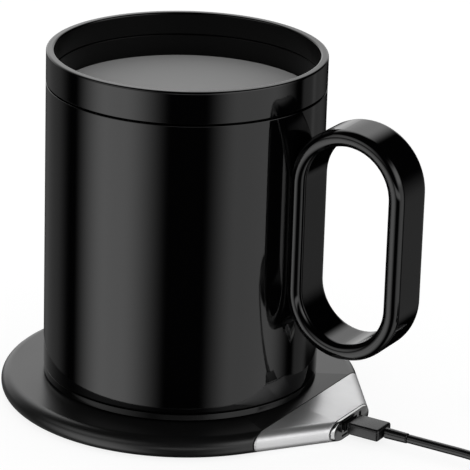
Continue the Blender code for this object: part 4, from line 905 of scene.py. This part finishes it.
def capped(mesh, rounding, *planes):
    """Closes the cuts of a mesh at planes across the tail and rounds their edges a little."""
    with edited(mesh) as shape:
        cap = set()
        for x in planes:
            rims = [edge for edge in shape.edges
                    if edge.is_boundary and all(abs(vertex.co.x - x) < WELD for vertex in edge.verts)]
            filled = bmesh.ops.triangle_fill(shape, use_beauty=True, use_dissolve=True, edges=rims,
                                             normal=(1, 0, 0))
            cap.update(item for item in filled["geom"] if isinstance(item, bmesh.types.BMFace))
        bmesh.ops.recalc_face_normals(shape, faces=shape.faces)
        edges = [edge for edge in shape.edges
                 if len(edge.link_faces) == 2 and sum(face in cap for face in edge.link_faces) == 1]
        bmesh.ops.bevel(shape, geom=edges, offset=rounding, segments=2, profile=0.5, affect='EDGES',
                        clamp_overlap=True)
    return tidy_mesh(mesh)


class MUG_OT_coaster(bpy.types.Operator):
    """Coaster housing, the tail's metal sleeve and the end face with its socket"""

    bl_idname = "mug.coaster"
    bl_label = "Coaster"

    def execute(self, context):
        sizes = context.scene.coaster_sizes
        gap = context.scene.mug_sizes.clearance
        self.make_housing(sizes, gap)
        self.make_sleeve(sizes)
        self.make_end(sizes, gap)
        return {'FINISHED'}

    def make_housing(self, sizes, gap):
        """Black body with its full-round edge, hollow and open below as the real one is."""
        opening = -low("coaster_housing").x - sizes.floor_inset + gap
        outside = round_edged(sizes)[:-1] + [Vector((opening, low("coaster_housing").z))]
        inside = round_edged(sizes, sizes.wall)[:-1]
        rim = Vector((opening, inside[-1].y))
        housing = with_tail(sizes, outside + [rim] + inside[::-1], "coaster_satin")
        end = low("tail_sleeve").x - gap
        housing = capped(sliced(housing, end, True), sizes.cut_rounding, end)
        show("coaster_housing_visual", housing, "coaster_satin", "coaster", "coaster_housing")

    def make_sleeve(self, sizes):
        """Metal sleeve between the black housing and the end face."""
        ends = (low("tail_sleeve").x, high("tail_sleeve").x)
        sleeve = bpy.data.meshes.new("sleeve")
        with edited(sleeve) as shape:
            for inset in (0.0, sizes.wall):
                body = with_tail(sizes, round_edged(sizes, inset), "silver_sleeve")
                shape.from_mesh(sliced(sliced(body, ends[0], False), ends[1], True))
        sleeve = capped(sleeve, sizes.cut_rounding, *ends)
        show("tail_sleeve_visual", sleeve, "silver_sleeve", "coaster", "tail_sleeve")

    def make_end(self, sizes, gap):
        """Moulding that closes the tail, with the socket and the recess round its mouth."""
        near = high("tail_sleeve").x + gap
        end = high("socket_block").x
        body = with_tail(sizes, round_edged(sizes), "end_face_metal")
        flange = capped(sliced(sliced(body, near, False), end, True), sizes.cut_rounding, near, end)
        height = middle("coaster_housing").z
        margin = sizes.mouth_margin
        wide = high("plug_insert").y + gap
        tall = high("plug_insert").z - height + gap

        def slot(start, stop, wider=0.0, taller=0.0):
            """Block across the tail, as large as the socket's hole or larger."""
            return block((start, -wide - wider, height - tall - taller),
                         (stop, wide + wider, height + tall + taller))

        mouth = slot(end - sizes.mouth_depth, end + OVERRUN, sizes.mouth_side_margin, margin)
        flange = cut(flange, [mouth, slot(end - sizes.socket_depth, end + OVERRUN)])
        show("tail_end_visual", flange, "end_face_metal", "coaster", "socket_block")
        lining = slot(low("socket_block").x, end - sizes.mouth_depth - gap, 2 * margin, margin)
        lining = cut(lining, [slot(end - sizes.socket_depth, end + OVERRUN)])
        show("socket_lining_visual", lining, "socket_dark", "coaster")


# Lead

FREE_ROUTE = (
    (84.2 * MM, 0.0, 3.75 * MM),
    (95.0 * MM, 0.0, 3.75 * MM),
    (106.0 * MM, 0.0, 3.65 * MM),
    (116.0 * MM, 0.3 * MM, 2.6 * MM),
    (126.0 * MM, 0.6 * MM, 1.65 * MM),
    (136.0 * MM, 0.5 * MM, 1.6 * MM),
    (146.0 * MM, 0.1 * MM, 2.3 * MM),
    (151.0 * MM, 0.0, 2.5 * MM),
    (156.9 * MM, 0.0, 2.5 * MM),
)
COIL_CENTRE_X = 160.0 * MM
ROUTE_STEP = 2.5 * MM
POINTS_PER_LOOP = 48
RUN_OUT_STEPS = 10
RELIEF_STEPS = 48


def smooth_route(points, step):
    """Even points on a smooth curve through a route's own points."""
    route = [Vector(point) for point in points]
    ends = [2 * route[0] - route[1]] + route + [2 * route[-1] - route[-2]]
    result = [route[0]]
    for index in range(1, len(ends) - 2):
        before, start, end, after = ends[index - 1:index + 3]
        pieces = max(1, round((end - start).length / step))
        for piece in range(1, pieces + 1):
            t = piece / pieces
            result.append(0.5 * (2 * start + (end - before) * t
                                 + (2 * before - 5 * start + 4 * end - after) * t ** 2
                                 + (3 * start - before - 3 * end + after) * t ** 3))
    return result


def coil_points(sizes, gap):
    """Two layers: the loops spiral in below, climb where they turn back, and spiral out above."""
    reversal = sizes.coil_turns / 2
    centre = Vector((COIL_CENTRE_X, sizes.coil_inner_radius + sizes.coil_pitch * reversal, 0.0))
    first_level = sizes.tie_thickness + gap + sizes.cord_radius
    points = []
    for step in range(round(sizes.coil_turns * POINTS_PER_LOOP) + 1):
        turn = step / POINTS_PER_LOOP
        past = turn - reversal
        radius = sizes.coil_inner_radius + sizes.coil_pitch * abs(past)
        climb = min(1.0, max(0.0, 0.5 + 2 * past))
        at = math.tau * turn - math.pi / 2
        height = first_level + sizes.coil_pitch * climb
        points.append(centre + Vector((radius * math.cos(at), radius * math.sin(at), height)))
    return points


def run_out_points(start, sizes):
    """The cord's last stretch, from the top of the coil back along -X and down to the far plug."""
    drop = middle("usb_plug_body").z - start.z
    points = []
    for step in range(1, RUN_OUT_STEPS + 1):
        along = sizes.run_out_length * step / RUN_OUT_STEPS
        share = (along - sizes.run_out_level) / (sizes.run_out_length - sizes.run_out_level)
        share = min(1.0, max(0.0, share))
        ease = share * share * (3 - 2 * share)
        points.append(start + Vector((-along, 0.0, drop * ease)))
    points.append(points[-1] - Vector((2 * sizes.cord_radius, 0.0, 0.0)))
    return points


class MUG_OT_cord(bpy.types.Operator):
    """Supply cord: the free stretch, the neat coil and the run to the far plug"""

    bl_idname = "mug.cord"
    bl_label = "Cord"

    def execute(self, context):
        sizes = context.scene.lead_sizes
        loops = coil_points(sizes, context.scene.mug_sizes.clearance)
        points = smooth_route(FREE_ROUTE, ROUTE_STEP) + loops + run_out_points(loops[-1], sizes)
        curve = bpy.data.curves.new("supply_cord_visual", 'CURVE')
        curve.dimensions = '3D'
        curve.bevel_depth = sizes.cord_radius
        curve.bevel_resolution = 4
        curve.use_fill_caps = True
        spline = curve.splines.new('POLY')
        spline.points.add(len(points) - 1)
        for point, place in zip(spline.points, points):
            point.co = (*place, 1.0)
        spline.use_smooth = True
        curve.materials.append(MATERIALS["cord_jacket"])
        cord = place_object("supply_cord_visual", curve)
        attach(cord, "lead")
        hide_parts("supply_cord", "cord_coil")
        on_cord = [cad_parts[name] for name in ("cord_tie", "usb_tongue")]
        on_cord += [bpy.data.objects[name] for name in (
            "usb_relief_visual", "usb_plug_body_visual", "usb_plug_shell_visual", "plug_insert_visual",
            "plug_body_visual", "plug_relief_visual")]
        return {'FINISHED'}


def strain_relief(node, near, far, edge):
    """Tapered strain relief with soft ends, from the plug towards +X in a node's place."""
    long = span(node).x
    profile = outline([(0, 0), (near, 0, edge), (far, long, edge), (0, long)], segments=4, closed=False)
    mesh = turned(profile, "cord_jacket", steps=RELIEF_STEPS)
    start = Vector((low(node).x, middle(node).y, middle(node).z))
    mesh.transform(Matrix.Translation(start) @ Matrix.Rotation(math.pi / 2, 4, 'Y'))
    show(f"{node}_visual", mesh, "cord_jacket", "lead", node)


def grip(node, finish, edge, segments=5):
    """Moulded block with rounded edges in a node's place."""
    mesh = tidy_mesh(block(low(node), high(node), edge, segments))
    show(f"{node}_visual", mesh, finish, "lead", node)


class MUG_OT_plug(bpy.types.Operator):
    """Flat plug in the coaster's tail, with its strain relief"""

    bl_idname = "mug.plug"
    bl_label = "Plug"

    def execute(self, context):
        sizes = context.scene.lead_sizes
        grip("plug_insert", "socket_dark", sizes.plug_edge / 2, segments=3)
        grip("plug_body", "plug_satin", sizes.plug_edge)
        strain_relief("plug_relief", sizes.relief_near, sizes.relief_far, sizes.relief_edge)
        return {'FINISHED'}


class MUG_OT_far_plug(bpy.types.Operator):
    """Flat plug at the cord's far end"""

    bl_idname = "mug.far_plug"
    bl_label = "Far plug"

    def execute(self, context):
        sizes = context.scene.lead_sizes
        strain_relief("usb_relief", sizes.far_relief_near, sizes.far_relief_far, sizes.far_relief_edge)
        grip("usb_plug_body", "plug_satin", sizes.far_plug_edge, segments=6)
        self.make_shell(sizes)
        return {'FINISHED'}

    def make_shell(self, sizes):
        """Folded steel shell with its mouth and the two spring windows in its upper side."""
        wall = sizes.shell_wall
        half = sizes.shell_window / 2
        near = low("usb_plug_shell")
        far = high("usb_plug_shell")
        cutters = [block(near + Vector((-OVERRUN, wall, wall)),
                         (near.x + sizes.shell_mouth, far.y - wall, far.z - wall))]
        x = near.x + sizes.shell_mouth / 2
        for side in (-1, 1):
            y = middle("usb_plug_shell").y + side * sizes.shell_window
            cutters.append(block((x - half, y - half, far.z - 2 * wall), (x + half, y + half, far.z + wall)))
        shell = cut(block(near, far, wall, segments=3), cutters)
        show("usb_plug_shell_visual", shell, "bright_steel", "lead", "usb_plug_shell")


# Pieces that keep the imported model's own shape

# Each finish with the nodes that take it, by the words that their names start with
NODE_FINISHES = {
    "silicone_matte": ("coaster_pad", "base_gasket", "foot_ring", "lid_gasket", "cord_tie"),
    "matte_black": ("coaster_base", "power_button", "carrier"),
    "bright_steel": ("coaster_screw", "handle_screw", "base_screw", "dome_switch"),
    "wound_copper": ("transmit_coil", "receive_coil"),
    "ferrite_grey": ("coaster_ferrite", "receive_ferrite", "coaster_inductor"),
    "board_green": ("coaster_board", "control_board"),
    "chip_black": ("coaster_chip", "control_chip"),
    "plated_brass": ("socket_pin", "temperature_sensor"),
    "battery_wrap": ("battery_pack",),
    "insulation_felt": ("heat_shield",),
    "turned_aluminium": ("pressure_plate",),
    "heater_film": ("heater_film",),
    "usb_tongue": ("usb_tongue",),
}


class MUG_OT_finishes(bpy.types.Operator):
    """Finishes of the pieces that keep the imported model's own shape"""

    bl_idname = "mug.finishes"
    bl_label = "Carried-over pieces"

    def execute(self, context):
        for finish, starts in NODE_FINISHES.items():
            for name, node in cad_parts.items():
                if name.startswith(starts):
                    node.data.materials.clear()
                    node.data.materials.append(MATERIALS[finish])
        return {'FINISHED'}


# Studio

# Soft light panels round the part, seen in reflections. Each has its azimuths from the camera, then its
# heights, in degrees: where it starts, is full, begins to fade and ends. The last number is its level.
LIGHT_PANELS = {
    "key": ((-102.0, -66.0, -52.0, -11.0), (-80.0, -45.0, -16.0, 8.0), 2.2),
    "key haze": ((-102.0, -66.0, -52.0, -11.0), (4.0, 16.0, 28.0, 44.0), 1.5),
    "side": ((15.0, 44.0, 74.0, 103.0), (-80.0, -45.0, 20.0, 52.0), 1.25),
    "side haze": ((15.0, 44.0, 74.0, 103.0), (4.0, 16.0, 28.0, 44.0), 1.3),
    "front strip": ((-24.0, -8.0, 20.0, 46.0), (-14.0, -9.0, -5.0, 1.0), 1.9),
    "back left low": ((-180.0, -150.0, -128.0, -106.0), (-80.0, -45.0, -16.0, 8.0), 0.2),
    "back right low": ((106.0, 112.0, 122.0, 134.0), (-80.0, -45.0, -16.0, 8.0), 0.22),
    "back right edge": ((122.0, 128.0, 130.0, 170.0), (-22.4, -21.8, -16.0, 8.0), 0.2),
    "back wall": ((145.0, 165.0, 190.0, 200.0), (-12.0, 4.0, 36.0, 60.0), 1.2),
    "back wall's other half": ((-200.0, -190.0, -165.0, -100.0), (-12.0, 4.0, 36.0, 60.0), 1.5),
    "back box": ((145.0, 165.0, 190.0, 200.0), (20.0, 42.0, 50.0, 64.0), 0.8),
    "back box's other half": ((-200.0, -190.0, -160.0, -126.0), (20.0, 42.0, 50.0, 64.0), 0.8),
}
FLOOR_STEPS = 96


def panel_light(tree, direction):
    """Light that the panels send from a direction, each faded smoothly at its edges."""
    way = parts_of(tree, direction)
    azimuth = calc(tree, 'ARCTAN2', way["Y"], way["X"])
    height = calc(tree, 'ARCSINE', way["Z"])
    total = 0.0
    for across, upward, level in LIGHT_PANELS.values():
        for measure, stops in ((azimuth, across), (height, upward)):
            start, full, fading, finish = (math.radians(stop) for stop in stops)
            rise = remap(tree, measure, start, full, interpolation='SMOOTHSTEP')
            fall = remap(tree, measure, finish, fading, interpolation='SMOOTHSTEP')
            level = calc(tree, 'MULTIPLY', level, calc(tree, 'MULTIPLY', rise, fall))
        total = calc(tree, 'ADD', total, level)
    return total


def world_light(studio):
    """White for the camera, soft light panels for reflections and an even fill for all else."""
    world = bpy.data.worlds.new("studio")
    world.use_nodes = True
    tree = world.node_tree
    tree.nodes.clear()
    facing = math.pi / 2 - math.atan2(studio.camera_place[0], -studio.camera_place[1])
    direction = add_node(tree, 'ShaderNodeTexCoord').outputs["Generated"]
    from_camera = add_node(tree, 'ShaderNodeVectorRotate', {"Vector": direction, "Angle": facing},
                           rotation_type='Z_AXIS').outputs[0]
    path = add_node(tree, 'ShaderNodeLightPath').outputs
    panels = panel_light(tree, from_camera)
    plain = add_node(tree, 'ShaderNodeMix', {"Factor": path["Is Glossy Ray"], "A": studio.fill, "B": panels},
                     data_type='FLOAT').outputs["Result"]
    final = add_node(tree, 'ShaderNodeMix', {"Factor": path["Is Camera Ray"], "A": plain, "B": 1.0},
                     data_type='FLOAT').outputs["Result"]
    background = add_node(tree, 'ShaderNodeBackground', {"Strength": final}).outputs[0]
    add_node(tree, 'ShaderNodeOutputWorld', {"Surface": background})
    bpy.context.scene.world = world


def floor_finish(studio):
    """Pale floor that shows white to the camera, keeps a faint shadow and lets reflections pass it."""
    tree, shader = new_material("studio_floor", Roughness=0.9, Base_Color=(*studio.floor_colour, 1.0),
                                Specular_IOR_Level=0.0, Emission_Color=(1.0, 1.0, 1.0, 1.0),
                                Emission_Strength=studio.floor_glow)
    glossy = add_node(tree, 'ShaderNodeLightPath').outputs["Is Glossy Ray"]
    clear = add_node(tree, 'ShaderNodeBsdfTransparent').outputs[0]
    mix = add_node(tree, 'ShaderNodeMixShader', {0: glossy, 1: shader.outputs[0], 2: clear}).outputs[0]
    tree.links.new(mix, tree.nodes["Material Output"].inputs["Surface"])
    return MATERIALS["studio_floor"]


class MUG_OT_studio(bpy.types.Operator):
    """Camera, floor and light"""

    bl_idname = "mug.studio"
    bl_label = "Studio"

    def execute(self, context):
        studio = context.scene.studio
        lens = bpy.data.cameras.new("camera")
        lens.lens = studio.lens
        lens.clip_end = studio.view_reach
        camera = place_object("camera", lens)
        turn = (Matrix.Rotation(studio.heading, 4, 'Z') @ Matrix.Rotation(math.pi / 2 - studio.pitch, 4, 'X')
                @ Matrix.Rotation(studio.roll, 4, 'Z'))
        camera.matrix_world = Matrix.Translation(studio.camera_place) @ turn
        context.scene.camera = camera
        mesh = bpy.data.meshes.new("floor")
        with edited(mesh) as shape:
            bmesh.ops.create_circle(shape, cap_ends=True, segments=FLOOR_STEPS, radius=studio.floor_radius)
        mesh.materials.append(floor_finish(studio))
        place_object("floor", mesh)
        world_light(studio)
        context.scene.view_settings.view_transform = 'Standard'
        return {'FINISHED'}


class MUG_PT_panel(bpy.types.Panel):
    """Lists the pieces in the 3D view's sidebar"""

    bl_idname = "MUG_PT_panel"
    bl_label = "Self Heating Mug"
    bl_space_type = 'VIEW_3D'
    bl_region_type = 'UI'
    bl_category = "Mug"

    def draw(self, context):
        for operator in STEPS:
            self.layout.operator(operator.bl_idname)


SETTINGS = {"mug_sizes": MugSizes, "coaster_sizes": CoasterSizes, "lead_sizes": LeadSizes,
            "mug_colours": MugColours, "studio": StudioSettings}
STEPS = (MUG_OT_studio, MUG_OT_plug, MUG_OT_far_plug, MUG_OT_cord, MUG_OT_coaster, MUG_OT_shell,
         MUG_OT_handle, MUG_OT_base, MUG_OT_lid, MUG_OT_finishes)


def register():
    for kind in (*SETTINGS.values(), *STEPS, MUG_PT_panel):
        bpy.utils.register_class(kind)
    for name, kind in SETTINGS.items():
        setattr(bpy.types.Scene, name, PointerProperty(type=kind))


def unregister():
    for name in SETTINGS:
        delattr(bpy.types.Scene, name)
    for kind in reversed((*SETTINGS.values(), *STEPS, MUG_PT_panel)):
        bpy.utils.unregister_class(kind)


def main():
    register()
    build_materials()
    for step in STEPS:
        area, name = step.bl_idname.split(".")
        getattr(getattr(bpy.ops, area), name)()


if __name__ == "__main__":
    main()
